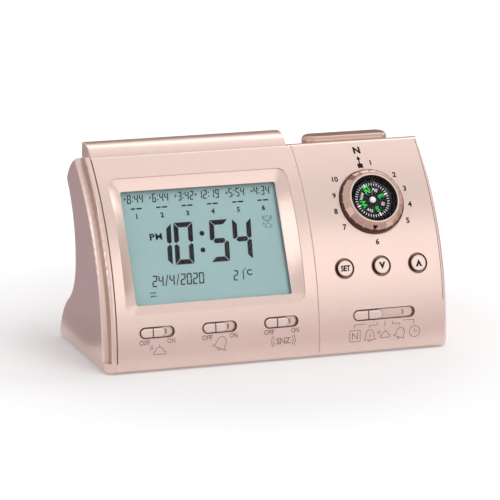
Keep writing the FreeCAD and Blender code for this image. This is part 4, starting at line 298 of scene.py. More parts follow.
def tone_group():
    """Two colours that drift into each other over a piece, and a gloss that drifts with them."""
    group, start, end = new_group(
        "soft drift",
        [("Colour A", "NodeSocketColor", None), ("Colour B", "NodeSocketColor", None),
         ("Scale", "NodeSocketFloat", 20.0), ("Gloss low", "NodeSocketFloat", 0.3),
         ("Gloss high", "NodeSocketFloat", 0.4)],
        [("Colour", "NodeSocketColor"), ("Roughness", "NodeSocketFloat")])
    nodes, links = group.nodes, group.links
    place = nodes.new("ShaderNodeTexCoord")
    noise = nodes.new("ShaderNodeTexNoise")
    noise.inputs["Detail"].default_value = 3.0
    links.new(place.outputs["Object"], noise.inputs["Vector"])
    links.new(start.outputs["Scale"], noise.inputs["Scale"])
    mix = nodes.new("ShaderNodeMix")
    mix.data_type = "RGBA"
    links.new(noise.outputs["Fac"], mix.inputs[0])
    links.new(start.outputs["Colour A"], mix.inputs[6])
    links.new(start.outputs["Colour B"], mix.inputs[7])
    links.new(mix.outputs[2], end.inputs["Colour"])
    gloss = nodes.new("ShaderNodeMapRange")
    links.new(noise.outputs["Fac"], gloss.inputs["Value"])
    links.new(start.outputs["Gloss low"], gloss.inputs["To Min"])
    links.new(start.outputs["Gloss high"], gloss.inputs["To Max"])
    links.new(gloss.outputs["Result"], end.inputs["Roughness"])
    return group


def flake_group():
    """The fine metal flake of a champagne lacquer: tiny cells a shade lighter or darker than the coat."""
    group, start, end = new_group(
        "metal flake",
        [("Colour", "NodeSocketColor", None), ("Scale", "NodeSocketFloat", 9000.0),
         ("Spread", "NodeSocketFloat", 0.1)],
        [("Colour", "NodeSocketColor"), ("Height", "NodeSocketFloat")])
    nodes, links = group.nodes, group.links
    place = nodes.new("ShaderNodeTexCoord")
    cells = nodes.new("ShaderNodeTexVoronoi")
    links.new(place.outputs["Object"], cells.inputs["Vector"])
    links.new(start.outputs["Scale"], cells.inputs["Scale"])
    split = nodes.new("ShaderNodeSeparateColor")
    links.new(cells.outputs["Color"], split.inputs[0])
    centred = nodes.new("ShaderNodeMath")
    centred.operation = "SUBTRACT"
    centred.inputs[1].default_value = 0.5
    links.new(split.outputs[0], centred.inputs[0])
    spread = nodes.new("ShaderNodeMath")
    spread.operation = "MULTIPLY_ADD"
    spread.inputs[2].default_value = 1.0
    links.new(centred.outputs[0], spread.inputs[0])
    links.new(start.outputs["Spread"], spread.inputs[1])
    tint = nodes.new("ShaderNodeVectorMath")
    tint.operation = "SCALE"
    links.new(start.outputs["Colour"], tint.inputs[0])
    links.new(spread.outputs[0], tint.inputs["Scale"])
    links.new(tint.outputs[0], end.inputs["Colour"])
    links.new(split.outputs[1], end.inputs["Height"])
    return group


GRAIN = grain_group()
TONE = tone_group()
FLAKE = flake_group()


class Finish:
    """A material under construction: its surface shader, and the nodes that vary it."""

    def __init__(self, name):
        self.material = bpy.data.materials.new(name)
        self.material.use_nodes = True
        self.nodes = self.material.node_tree.nodes
        self.links = self.material.node_tree.links
        self.surface = self.nodes["Principled BSDF"]

    def put(self, **values):
        for title, value in values.items():
            self.surface.inputs[title.replace("_", " ")].default_value = value
        return self

    def group(self, tree, **values):
        node = self.nodes.new("ShaderNodeGroup")
        node.node_tree = tree
        for title, value in values.items():
            node.inputs[title.replace("_", " ")].default_value = value
        return node

    def join(self, source, socket):
        self.links.new(source, self.surface.inputs[socket])

    def relief(self, height, strength, distance):
        bump = self.nodes.new("ShaderNodeBump")
        bump.inputs["Strength"].default_value = strength
        bump.inputs["Distance"].default_value = distance
        self.links.new(height, bump.inputs["Height"])
        self.links.new(bump.outputs["Normal"], self.surface.inputs["Normal"])
        return bump

    def soft_edges(self, bump, radius):
        """Edges that catch the light as if they had a small radius."""
        edge = self.nodes.new("ShaderNodeBevel")
        edge.samples = 6
        edge.inputs["Radius"].default_value = radius
        self.links.new(edge.outputs["Normal"], bump.inputs["Normal"])


def rgba(red, green, blue):
    return (red, green, blue, 1.0)


def lacquer(name, light, deep, metallic, rough_low, rough_high, edge=0.25 * MM):
    """Champagne lacquer over moulded plastic: soft metallic gloss with fine flake."""
    finish = Finish(name)
    finish.put(Metallic=metallic, Coat_Weight=0.25, Coat_Roughness=0.25)
    tone = finish.group(TONE, Colour_A=light, Colour_B=deep, Scale=14.0, Gloss_low=rough_low,
                        Gloss_high=rough_high)
    flake = finish.group(FLAKE, Scale=6500.0, Spread=0.10)
    finish.links.new(tone.outputs["Colour"], flake.inputs["Colour"])
    finish.join(flake.outputs["Colour"], "Base Color")
    finish.join(tone.outputs["Roughness"], "Roughness")
    bump = finish.relief(flake.outputs["Height"], 0.05, 0.02 * MM)
    finish.soft_edges(bump, edge)
    return finish.material


def moulded(name, light, deep, rough=0.5, grain=2500.0, depth=0.15, shine=0.5):
    """Plain moulded plastic or rubber with a fine spark-eroded grain."""
    finish = Finish(name)
    finish.put(Specular_IOR_Level=shine)
    tone = finish.group(TONE, Colour_A=light, Colour_B=deep, Scale=60.0, Gloss_low=rough - 0.05,
                        Gloss_high=rough + 0.05)
    grains = finish.group(GRAIN, Scale=grain, Detail=2.0)
    finish.join(tone.outputs["Colour"], "Base Color")
    finish.join(tone.outputs["Roughness"], "Roughness")
    finish.relief(grains.outputs["Height"], depth, 0.05 * MM)
    return finish.material


def bare_metal(name, light, deep, rough=0.3, stretch=(1.0, 1.0, 1.0)):
    """Sheet or turned metal with fine drawn lines."""
    finish = Finish(name)
    finish.put(Metallic=1.0)
    place = finish.nodes.new("ShaderNodeTexCoord")
    turn = finish.nodes.new("ShaderNodeMapping")
    turn.inputs["Scale"].default_value = stretch
    lines = finish.nodes.new("ShaderNodeTexNoise")
    lines.inputs["Scale"].default_value = 1800.0
    finish.links.new(place.outputs["Object"], turn.inputs["Vector"])
    finish.links.new(turn.outputs["Vector"], lines.inputs["Vector"])
    tone = finish.group(TONE, Colour_A=light, Colour_B=deep, Scale=120.0, Gloss_low=rough - 0.08,
                        Gloss_high=rough + 0.08)
    finish.join(tone.outputs["Colour"], "Base Color")
    finish.join(tone.outputs["Roughness"], "Roughness")
    finish.relief(lines.outputs["Fac"], 0.1, 0.02 * MM)
    return finish.material


def clear_plastic(name, tint, rough=0.02):
    """Clear coated acrylic that lets the light of the lamps through and mirrors little."""
    finish = Finish(name)
    finish.put(Base_Color=tint, Roughness=rough, IOR=1.15, Transmission_Weight=1.0)
    nodes, links = finish.nodes, finish.links
    output = nodes["Material Output"]
    through = nodes.new("ShaderNodeBsdfTransparent")
    through.inputs["Color"].default_value = tint
    path = nodes.new("ShaderNodeLightPath")
    mix = nodes.new("ShaderNodeMixShader")
    links.new(path.outputs["Is Shadow Ray"], mix.inputs[0])
    links.new(finish.surface.outputs[0], mix.inputs[1])
    links.new(through.outputs[0], mix.inputs[2])
    links.new(mix.outputs[0], output.inputs["Surface"])
    return finish.material


def display_backing():
    """The pale teal of the liquid crystal with its reflector's fine grain."""
    finish = Finish("display glass")
    finish.put(Coat_Weight=0.0, Specular_IOR_Level=0.2)
    tone = finish.group(TONE, Colour_A=rgba(0.285, 0.415, 0.42), Colour_B=rgba(0.30, 0.43, 0.435),
                        Scale=30.0, Gloss_low=0.45, Gloss_high=0.55)
    grains = finish.group(GRAIN, Scale=9000.0, Detail=1.0)
    finish.join(tone.outputs["Colour"], "Base Color")
    finish.join(tone.outputs["Roughness"], "Roughness")
    finish.relief(grains.outputs["Height"], 0.05, 0.01 * MM)
    return finish.material


def ink(name, colour, rough=0.45):
    """Pad-printed ink with a slightly uneven, dull film."""
    finish = Finish(name)
    finish.put(Specular_IOR_Level=0.1)
    paler = rgba(*(min(1.0, part * 1.25 + 0.004) for part in colour[:3]))
    tone = finish.group(TONE, Colour_A=colour, Colour_B=paler, Scale=900.0, Gloss_low=rough - 0.1,
                        Gloss_high=rough + 0.1)
    finish.join(tone.outputs["Colour"], "Base Color")
    finish.join(tone.outputs["Roughness"], "Roughness")
    return finish.material


def circuit_board_finish():
    """Green solder mask over a faint pattern of tracks."""
    finish = Finish("solder mask")
    finish.put(Coat_Weight=0.3)
    nodes, links = finish.nodes, finish.links
    place = nodes.new("ShaderNodeTexCoord")
    tracks = nodes.new("ShaderNodeTexBrick")
    tracks.inputs["Scale"].default_value = 420.0
    tracks.inputs["Mortar Size"].default_value = 0.05
    tracks.inputs["Color1"].default_value = rgba(0.010, 0.115, 0.045)
    tracks.inputs["Color2"].default_value = rgba(0.012, 0.125, 0.050)
    tracks.inputs["Mortar"].default_value = rgba(0.030, 0.210, 0.090)
    links.new(place.outputs["Object"], tracks.inputs["Vector"])
    finish.join(tracks.outputs["Color"], "Base Color")
    grains = finish.group(GRAIN, Scale=1500.0, Detail=2.0)
    finish.relief(grains.outputs["Height"], 0.1, 0.03 * MM)
    finish.put(Roughness=0.35)
    return finish.material


def cell_jacket_finish():
    """A dry cell's printed jacket: dark body with a copper-coloured end band."""
    finish = Finish("cell jacket")
    finish.put(Metallic=0.6, Roughness=0.3, Coat_Weight=0.5)
    nodes, links = finish.nodes, finish.links
    place = nodes.new("ShaderNodeTexCoord")
    split = nodes.new("ShaderNodeSeparateXYZ")
    edge = nodes.new("ShaderNodeMath")
    edge.operation = "GREATER_THAN"
    edge.inputs[1].default_value = 12.0 * MM
    mix = nodes.new("ShaderNodeMix")
    mix.data_type = "RGBA"
    mix.inputs[6].default_value = rgba(0.022, 0.024, 0.030)
    mix.inputs[7].default_value = rgba(0.45, 0.22, 0.10)
    links.new(place.outputs["Object"], split.inputs[0])
    links.new(split.outputs["X"], edge.inputs[0])
    links.new(edge.outputs[0], mix.inputs[0])
    finish.join(mix.outputs[2], "Base Color")
    grains = finish.group(GRAIN, Scale=900.0, Detail=2.0)
    finish.relief(grains.outputs["Height"], 0.05, 0.02 * MM)
    return finish.material


CHAMPAGNE = lacquer("champagne lacquer", rgba(0.86, 0.665, 0.60), rgba(0.83, 0.635, 0.57), 0.75, 0.28, 0.34)
PALE_ROSE = lacquer("pale rose lacquer", rgba(0.88, 0.71, 0.645), rgba(0.85, 0.68, 0.615), 0.6, 0.28, 0.34,
                    0.2 * MM)
ROSE_GOLD = lacquer("bright rose gold", rgba(0.68, 0.46, 0.37), rgba(0.62, 0.41, 0.33), 0.9, 0.07, 0.12,
                    0.05 * MM)
# Painted shade: a darker rose lacquer for the light button and for the step down to the left side.
PAINTED_SHADE_ROSE = lacquer("rose lacquer in painted shade", rgba(0.62, 0.44, 0.36), rgba(0.58, 0.40, 0.33), 0.75, 0.28, 0.34)
# Painted shade: the moulded signs are drawn darker than the panel, as if their flanks lay in shade.
RELIEF_SHADE = lacquer("moulded lettering in painted shade", rgba(0.46, 0.28, 0.23), rgba(0.42, 0.25, 0.20), 0.4, 0.35, 0.45,
                 0.05 * MM)
# Painted shade: a dark brown for the slot walls, the slot rims and the foot of the dial ring, where shade
# falls.
DEEP_SHADE_BROWN = moulded("painted deep shade", rgba(0.13, 0.042, 0.028), rgba(0.10, 0.032, 0.022), 0.45,
                      depth=0.03, shine=0.25)
# Painted shade: a dark copper lacquer for the button wells, the sides of buttons and knobs, the wall over the
# display opening and the line along the right edge.
SHADE_COPPER = lacquer("painted shade copper", rgba(0.30, 0.15, 0.11), rgba(0.25, 0.12, 0.09), 0.7, 0.28, 0.36, 0.1 * MM)
# Painted shade: a mid brown for the walls and floor of the seam beside the left bead.
PAINTED_SEAM_SHADE = moulded("painted seam shade", rgba(0.60, 0.37, 0.28), rgba(0.52, 0.32, 0.24), 0.5, depth=0.03,
                     shine=0.3)
# Painted highlight: a pale lacquer for the bright copies beside the moulded signs, and for the slit walls,
# which would lie in shade.
PAINTED_HIGHLIGHT = lacquer("painted highlight", rgba(0.96, 0.86, 0.80), rgba(0.94, 0.83, 0.77), 0.2, 0.35, 0.45, 0.05 * MM)
CLEAR = clear_plastic("clear window", rgba(0.985, 0.99, 0.99))
DISPLAY = display_backing()
BLACK = moulded("black plastic", rgba(0.012, 0.012, 0.014), rgba(0.018, 0.018, 0.020), 0.42)
MATT_BLACK = moulded("matt black plastic", rgba(0.006, 0.006, 0.008), rgba(0.009, 0.009, 0.011), 0.6,
                     depth=0.02, shine=0.1)
WHITE = moulded("white plastic", rgba(0.80, 0.80, 0.78), rgba(0.76, 0.76, 0.74), 0.4)
RUBBER = moulded("soft rubber", rgba(0.020, 0.020, 0.021), rgba(0.028, 0.028, 0.030), 0.7, 1800.0, 0.3)
BOARD = circuit_board_finish()
STEEL = bare_metal("zinc plated steel", rgba(0.55, 0.56, 0.57), rgba(0.48, 0.49, 0.50), 0.32)
NICKEL = bare_metal("nickel plate", rgba(0.70, 0.69, 0.67), rgba(0.63, 0.62, 0.60), 0.2, (1.0, 6.0, 1.0))
BRASS = bare_metal("bare brass", rgba(0.70, 0.50, 0.20), rgba(0.60, 0.42, 0.16), 0.25)
TINNED = bare_metal("tinned steel", rgba(0.62, 0.63, 0.64), rgba(0.55, 0.56, 0.57), 0.35, (1.0, 1.0, 5.0))
CELL = cell_jacket_finish()
FERRITE = bare_metal("magnet", rgba(0.16, 0.16, 0.17), rgba(0.12, 0.12, 0.13), 0.45)
BASKET = bare_metal("speaker basket", rgba(0.30, 0.30, 0.31), rgba(0.24, 0.24, 0.25), 0.38)
PAPER = moulded("pressed paper", rgba(0.020, 0.020, 0.020), rgba(0.035, 0.034, 0.033), 0.85, 700.0, 0.6)
LEAD = moulded("lead sleeve", rgba(0.36, 0.012, 0.010), rgba(0.30, 0.010, 0.008), 0.4)
RIBBON = moulded("ribbon cable", rgba(0.36, 0.37, 0.38), rgba(0.32, 0.33, 0.34), 0.45)
INK = ink("black ink", rgba(0.010, 0.008, 0.010))
SEGMENT = ink("display segment", rgba(0.012, 0.008, 0.012), 0.3)
FAINT = ink("faint segment", rgba(0.055, 0.075, 0.080), 0.4)
WHITE_INK = ink("white ink", rgba(0.80, 0.80, 0.80), 0.5)
GREEN_INK = ink("green ink", rgba(0.02, 0.50, 0.05), 0.4)


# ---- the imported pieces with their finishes

INSIDE = {
    "lcd_frame": WHITE, "zebra_strips": RUBBER, "main_board": BOARD, "dial_board": BOARD,
    "button_board": BOARD, "switch_board": BOARD, "top_board": BOARD, "chip_cover": BLACK,
    "board_components": BLACK,
    "board_screws": STEEL, "button_switches": BLACK, "top_switches": BLACK, "slide_switches": TINNED,
    "bar_springs": STEEL, "battery_front": CELL, "battery_rear": CELL, "contact_plates": NICKEL,
    "contact_springs": NICKEL, "speaker_frame": BASKET, "speaker_cone": PAPER, "speaker_magnet": FERRITE,
    "speaker_leads": LEAD, "battery_leads": LEAD, "ribbon_cables": RIBBON, "snooze_plunger": BLACK,
    "light_plunger": BLACK, "set_plunger": BLACK, "down_plunger": BLACK, "up_plunger": BLACK,
    "azan_lever": BLACK, "alarm_lever": BLACK, "snooze_lever": BLACK, "mode_lever": BLACK,
    "compass_pin": STEEL, "dial_clip": STEEL, "dial_wiper": BRASS, "card_magnet": FERRITE,
}
OUTSIDE = {
    "front_housing": (CHAMPAGNE, "case_plastic"), "rear_cover": (CHAMPAGNE, "case_plastic"),
    "battery_door": (CHAMPAGNE, "case_plastic"), "snooze_bar": (CHAMPAGNE, "case_plastic"),
    # The light button takes the darker rose lacquer as painted shade on its sloping top.
    "light_button": (PAINTED_SHADE_ROSE, "case_plastic"), "dial_ring": (ROSE_GOLD, "case_plastic"),
    "set_button": (PALE_ROSE, "key_plastic"), "down_button": (PALE_ROSE, "key_plastic"),
    "up_button": (PALE_ROSE, "key_plastic"), "azan_knob": (PALE_ROSE, "key_plastic"),
    "alarm_knob": (PALE_ROSE, "key_plastic"), "snooze_knob": (PALE_ROSE, "key_plastic"),
    "mode_knob": (PALE_ROSE, "key_plastic"), "display_lens": (CLEAR, "clear_window"),
    "compass_dome": (CLEAR, "clear_window"), "lcd_glass": (DISPLAY, "display_glass"),
    "compass_case": (MATT_BLACK, "black_plastic"), "compass_card": (MATT_BLACK, "black_plastic"),
    "card_cap": (WHITE, "white_plastic"), "case_screws": (STEEL, "plain_steel"),
    "rubber_feet": (RUBBER, "soft_rubber"),
}
SHARP = 30.0
FACET_SHARP = 9.5
SKIRT_TOP = 1.6


def finish_inside():
    """The pieces behind the skin keep their own meshes, and take a finish each."""
    for node, material in INSIDE.items():
        mesh = frame["nodes"][node].data
        mesh.materials.clear()
        mesh.materials.append(material)


def slot_wall(face, low, high, lean_reach):
    """A wall, not a floor, of one of the slide slots, between two heights."""
    if abs(face.normal.dot(out_at(SLOT_LEAN))) > 0.6:
        return False
    x, lean, height = place_on_front(face.calc_center_median())
    near = any(abs(x - middle) < length / 2 + 1.0 for name, middle, length, travel in SLOTS)
    return near and abs(lean - SLOT_LEAN) < lean_reach and low < height < high


def in_slot(face):
    """The walls of the four slide slots, which take painted shade."""
    return slot_wall(face, -1.0, -0.1, 2.6)


def in_slit(face):
    """The walls of the thin slit in a slot's floor, which take painted light where they would lie in shade.
    """
    return slot_wall(face, -2.2, -1.1, 0.8)


def in_button_well(face):
    """The rim and wall of the three round button wells, which take painted shade."""
    x, lean, height = place_on_front(face.calc_center_median())
    up = math.radians(lean - BUTTON_LEAN) * FRONT_RADIUS
    across = min(abs(x - DIAL_X - step * BUTTON_PITCH) for step in (-1, 0, 1))
    return math.hypot(across, up) < 5.0 and -4.0 < height < -0.06


# The side walls of a button cap, which take painted shade.
def button_side(face):
    return face.normal.dot(out_at(BUTTON_LEAN)) < 0.45


def knob_side(face):
    """The sides of a knob and the groove between its cushions, which take painted shade."""
    low = place_on_front(face.calc_center_median())[2] < 0.3
    return low or face.normal.dot(out_at(SLOT_LEAN)) < 0.7


def in_seam(face):
    """The walls and floor of the thin seam beside the bead, which take painted shade."""
    x, lean, height = place_on_front(face.calc_center_median())
    return abs(x + SEAM_X) < 0.27 and -0.9 < height < -0.05


def in_step(face):
    """The step down from the bead to the left side, which takes painted shade."""
    x, lean, height = place_on_front(face.calc_center_median())
    return x < -SEAM_X - 1.9 and -4.6 < height < -0.9 and lean > 3.0


def top_lip(face):
    """The small wall over the top of the display opening, which takes painted shade."""
    x, lean, height = place_on_front(face.calc_center_median())
    up = front_frame(0, lean).col[1].to_3d()
    inside = -68.0 < x < 16.0 and 40.0 < lean < 48.0
    return inside and -1.2 < height < -0.02 and face.normal.dot(up) < -0.6


# The foot of the dial ring, up to SKIRT_TOP, which takes painted shade.
def dial_skirt(face):
    return (DIAL_FRAME.inverted() @ face.calc_center_median()).z < SKIRT_TOP * MM


SHADE_AND_LIGHT_WALLS = {  # walls in painted shade or painted light, each a piece of its own: name, test and finish
    "front_housing": [("slot_shade", in_slot, DEEP_SHADE_BROWN), ("button_well_shade", in_button_well, SHADE_COPPER),
                      ("slit_painted_light", in_slit, PAINTED_HIGHLIGHT), ("seam_shade", in_seam, PAINTED_SEAM_SHADE),
                      ("side_step_shade", in_step, PAINTED_SHADE_ROSE), ("window_lip_shade", top_lip, SHADE_COPPER)],
    "azan_knob": [("azan_side_shade", knob_side, SHADE_COPPER)], "alarm_knob": [("alarm_side_shade", knob_side, SHADE_COPPER)],
    "snooze_knob": [("snooze_side_shade", knob_side, SHADE_COPPER)], "mode_knob": [("mode_side_shade", knob_side, SHADE_COPPER)],
    "set_button": [("set_side_shade", button_side, SHADE_COPPER)], "down_button": [("down_side_shade", button_side, SHADE_COPPER)],
    "up_button": [("up_side_shade", button_side, SHADE_COPPER)], "dial_ring": [("dial_skirt", dial_skirt, DEEP_SHADE_BROWN)],
}


def clean_mesh(node):
    """A merged copy of a node's own mesh, smooth but for its crisp edges."""
    bm = bmesh.new()
    bm.from_mesh(frame["nodes"][node].data)
    bmesh.ops.remove_doubles(bm, verts=bm.verts, dist=0.002 * MM)
    bmesh.ops.dissolve_degenerate(bm, edges=bm.edges, dist=0.0005 * MM)
    if node == "dial_ring":
        # Cut the ring where its painted shade ends.
        foot = DIAL_FRAME @ Vector((0, 0, SKIRT_TOP * MM))
        geometry = list(bm.verts) + list(bm.edges) + list(bm.faces)
        bmesh.ops.bisect_plane(bm, geom=geometry, plane_co=foot, plane_no=DIAL_AXIS)
    limit = math.radians(FACET_SHARP if node == "dial_ring" else SHARP)
    for face in bm.faces:
        face.smooth = True
        face.material_index = 0
    for edge in bm.edges:
        edge.smooth = len(edge.link_faces) == 2 and edge.calc_face_angle(0.0) < limit
    return bm


def skin_piece(name, bm, material, node):
    mesh = bpy.data.meshes.new(name)
    bm.to_mesh(mesh)
    mesh.materials.clear()
    mesh.materials.append(material)
    skin = bpy.data.objects.new(name, mesh)
    bpy.context.scene.collection.objects.link(skin)
    even = skin.modifiers.new("even_normals", "WEIGHTED_NORMAL")
    even.keep_sharp = True
    even.weight = 100
    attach(skin, frame["nodes"][node]["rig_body"])
    return skin


def smooth_skin(node, material):
    """A piece with smooth curves and crisp edges; its walls in painted shade or painted light become pieces
    of their own.
    """
    bm = clean_mesh(node)
    for name, wanted, shade in SHADE_AND_LIGHT_WALLS.get(node, []):
        part = bm.copy()
        bmesh.ops.delete(part, geom=[face for face in part.faces if not wanted(face)], context="FACES")
        bmesh.ops.delete(bm, geom=[face for face in bm.faces if wanted(face)], context="FACES")
        skin_piece(name, part, shade, node)
        part.free()
    skin = skin_piece(node + "_skin", bm, material, node)
    bm.free()
    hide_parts(node)


# ---- prints and reliefs, drawn flat in millimetres

PRINT_DEPTH = 0.05
PRINT_SUNK = 0.02
RELIEF_DEPTH = 0.12
# The painted highlight copy of a moulded sign: its depth, and its shift and lean from the sign.
FLANK_DEPTH = 0.08
FLANK_SHIFT = 0.24
FLANK_LEAN = -0.10


def new_piece(name, bm, material, body):
    mesh = bpy.data.meshes.new(name)
    bm.to_mesh(mesh)
    bm.free()
    mesh.materials.append(material)
    piece = bpy.data.objects.new(name, mesh)
    bpy.context.scene.collection.objects.link(piece)
    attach(piece, body)


def word_mesh(text, height, width=None, weight=0.0):
    """Flat lettering of a given cap height, centred on its own box, as a bmesh."""
    curve = bpy.data.curves.new("word", "FONT")
    curve.body = text
    curve.size = 1.0
    curve.offset = weight
    curve.resolution_u = 3
    holder = bpy.data.objects.new("word", curve)
    bpy.context.scene.collection.objects.link(holder)
    flat = bpy.data.meshes.new_from_object(holder.evaluated_get(bpy.context.evaluated_depsgraph_get()))
    bm = bmesh.new()
    bm.from_mesh(flat)
    bpy.data.objects.remove(holder)
    bpy.data.curves.remove(curve)
    bpy.data.meshes.remove(flat)
    fit(bm, height, width)
    return bm


def fit(bm, height, width=None):
    """Centre a flat drawing on its box and give it its height, and its width if that is named."""
    low = Vector((min(v.co.x for v in bm.verts), min(v.co.y for v in bm.verts), 0))
    high = Vector((max(v.co.x for v in bm.verts), max(v.co.y for v in bm.verts), 0))
    scale = height / (high.y - low.y)
    across = scale if width is None else width / (high.x - low.x)
    bmesh.ops.translate(bm, vec=-(low + high) / 2, verts=bm.verts)
    bmesh.ops.scale(bm, vec=(across, scale, 1), verts=bm.verts)


def turned(bm, degrees):
    """Turn a drawing in its own plane."""
    turn = Matrix.Rotation(math.radians(degrees), 3, "Z")
    bmesh.ops.rotate(bm, cent=(0, 0, 0), matrix=turn, verts=bm.verts)
    return bm


def thicken(bm, depth):
    """Bring a flat drawing to its real size, and give it a top and side walls that stand on z = 0."""
    bmesh.ops.remove_doubles(bm, verts=bm.verts, dist=0.001)
    bmesh.ops.scale(bm, vec=(MM, MM, MM), verts=bm.verts)
    made = bmesh.ops.extrude_face_region(bm, geom=list(bm.faces))
    top = [item for item in made["geom"] if isinstance(item, bmesh.types.BMVert)]
    bmesh.ops.translate(bm, vec=(0, 0, depth * MM), verts=top)
    bmesh.ops.recalc_face_normals(bm, faces=bm.faces)


def add_polygon(bm, corners):
    bm.faces.new([bm.verts.new((x, y, 0)) for x, y in corners])


def add_bar(bm, start, end, width):
    """A straight stroke between two points."""
    start, end = Vector(start), Vector(end)
    along = (end - start).normalized()
    side = Vector((-along.y, along.x)) * width / 2
    add_polygon(bm, [tuple(start + side), tuple(start - side), tuple(end - side), tuple(end + side)])


def add_path(bm, points, width):
    for start, end in zip(points, points[1:]):
        add_bar(bm, start, end, width)


def arc_points(centre, radius, start, end, steps=10):
    points = []
    for index in range(steps + 1):
        angle = math.radians(start + (end - start) * index / steps)
        points.append((centre[0] + radius * math.cos(angle), centre[1] + radius * math.sin(angle)))
    return points


def scaled(points, size):
    return [(x * size, y * size) for x, y in points]


def add_disc(bm, centre, radius, steps=20):
    add_polygon(bm, arc_points(centre, radius, 0, 360 - 360 / steps, steps - 1))


def join_meshes(target, source, x=0.0, y=0.0):
    """Add a drawing to another at a place."""
    bmesh.ops.translate(source, vec=(x, y, 0), verts=source.verts)
    mesh = bpy.data.meshes.new("joined")
    source.to_mesh(mesh)
    source.free()
    target.from_mesh(mesh)
    bpy.data.meshes.remove(mesh)


def lay(bm, place, rise=0.0):
    """Move a thick drawing into a frame, at a rise over it."""
    lift = Matrix.Translation((0, 0, rise * MM))
    bmesh.ops.transform(bm, matrix=place @ lift, verts=bm.verts)


def on_front(bm, x, lean, turn=0.0, sunk=PRINT_SUNK):
    """Lay a thick drawing on the curved front: its Y runs up along the arc."""
    turned(bm, turn)
    for vert in bm.verts:
        angle = math.radians(lean) + vert.co.y / (FRONT_RADIUS * MM)
        radius = (FRONT_RADIUS - sunk) * MM + vert.co.z
        vert.co = Vector((x * MM + vert.co.x, ARC_CENTRE.y - radius * math.cos(angle),
                          ARC_CENTRE.z + radius * math.sin(angle)))


def print_on_front(name, bm, x, lean):
    thicken(bm, PRINT_DEPTH)
    on_front(bm, x, lean)
    new_piece(name, bm, INK, "case")


def relief_on_front(name, bm, x, lean, turn=0.0):
    """A moulded sign in painted shade, with a painted highlight copy just right of it and below."""
    bright = bm.copy()
    thicken(bm, RELIEF_DEPTH)
    on_front(bm, x, lean, turn)
    new_piece(name, bm, RELIEF_SHADE, "case")
    thicken(bright, FLANK_DEPTH)
    on_front(bright, x + FLANK_SHIFT, lean + FLANK_LEAN, turn)
    new_piece(name + "_highlight_copy", bright, PAINTED_HIGHLIGHT, "case")


# ---- painted shade round the slots and along the right edge, and the shields behind the slots

SLOT_RADIUS = 2.15
# The painted shade edge round each slot: its width, and how far out it reaches.
RIM_WIDTH = 0.30
RIM_OUT = 0.02
SHIELD_RISE = -2.27
SHIELD_REACH = 4.4
SHIELD_WIDTH = 2.7
SHIELD_DEPTH = 0.2
STEM_HALF = 2.25
# The painted shade line along the right edge of the front.
RIGHT_SHADE_X = 71.3
RIGHT_SHADE_LEAN = 30.0
RIGHT_SHADE_REACH = 19.0
RIGHT_SHADE_WIDTH = 0.28
RIGHT_SHADE_DEPTH = 0.12
RIGHT_SHADE_SUNK = 0.10


def slot_rims():
    """The dark edge round each slide slot: painted shade."""
    radius = SLOT_RADIUS + RIM_OUT
    for name, middle, length, travel in SLOTS:
        half = length / 2 - SLOT_RADIUS
        line = arc_points((half, 0), radius, -90, 90, 12) + arc_points((-half, 0), radius, 90, 270, 12)
        line.append(line[0])
        rim = bmesh.new()
        add_path(rim, line, RIM_WIDTH)
        thicken(rim, PRINT_DEPTH)
        on_front(rim, middle, SLOT_LEAN)
        new_piece(name + "_rim_painted_shade", rim, DEEP_SHADE_BROWN, "case")


def slot_shields():
    """A pale strip behind each slit that slides with its knob and keeps the switch out of sight."""
    for name, middle, length, travel in SLOTS:
        strip = bmesh.new()
        for side in (-1, 1):
            add_bar(strip, (side * STEM_HALF, 0), (side * (travel + SHIELD_REACH), 0), SHIELD_WIDTH)
        thicken(strip, SHIELD_DEPTH)
        lay(strip, front_frame(middle - travel / 2, SLOT_LEAN), SHIELD_RISE)
        body = frame["nodes"][name + "_knob"]["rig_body"]
        new_piece(name + "_shield", strip, PALE_ROSE, body)


def right_edge_shade():
    """The thin dark line just inside the right edge of the front: painted shade where the edge rolls away."""
    reach = math.radians(RIGHT_SHADE_REACH) * FRONT_RADIUS
    line = bmesh.new()
    add_path(line, [(0, reach * step / 20) for step in range(-20, 21)], RIGHT_SHADE_WIDTH)
    thicken(line, RIGHT_SHADE_DEPTH)
    on_front(line, RIGHT_SHADE_X, RIGHT_SHADE_LEAN, sunk=RIGHT_SHADE_SUNK)
    new_piece("right_edge_shade", line, SHADE_COPPER, "case")


# ---- liquid crystal display

DISPLAY_FRAME = front_frame(DISPLAY_X, DISPLAY_LEAN)
GLASS_FACE = -6.7
SEGMENT_DEPTH = 0.04
SEGMENT_SUNK = 0.01
DIGIT_SLANT = 0.09
LIT = {
    "0": "abcdef", "1": "bc", "2": "abged", "3": "abgcd", "4": "fgbc", "5": "afgcd", "6": "afgedc",
    "7": "abc", "8": "abcdefg", "9": "abcdfg",
}


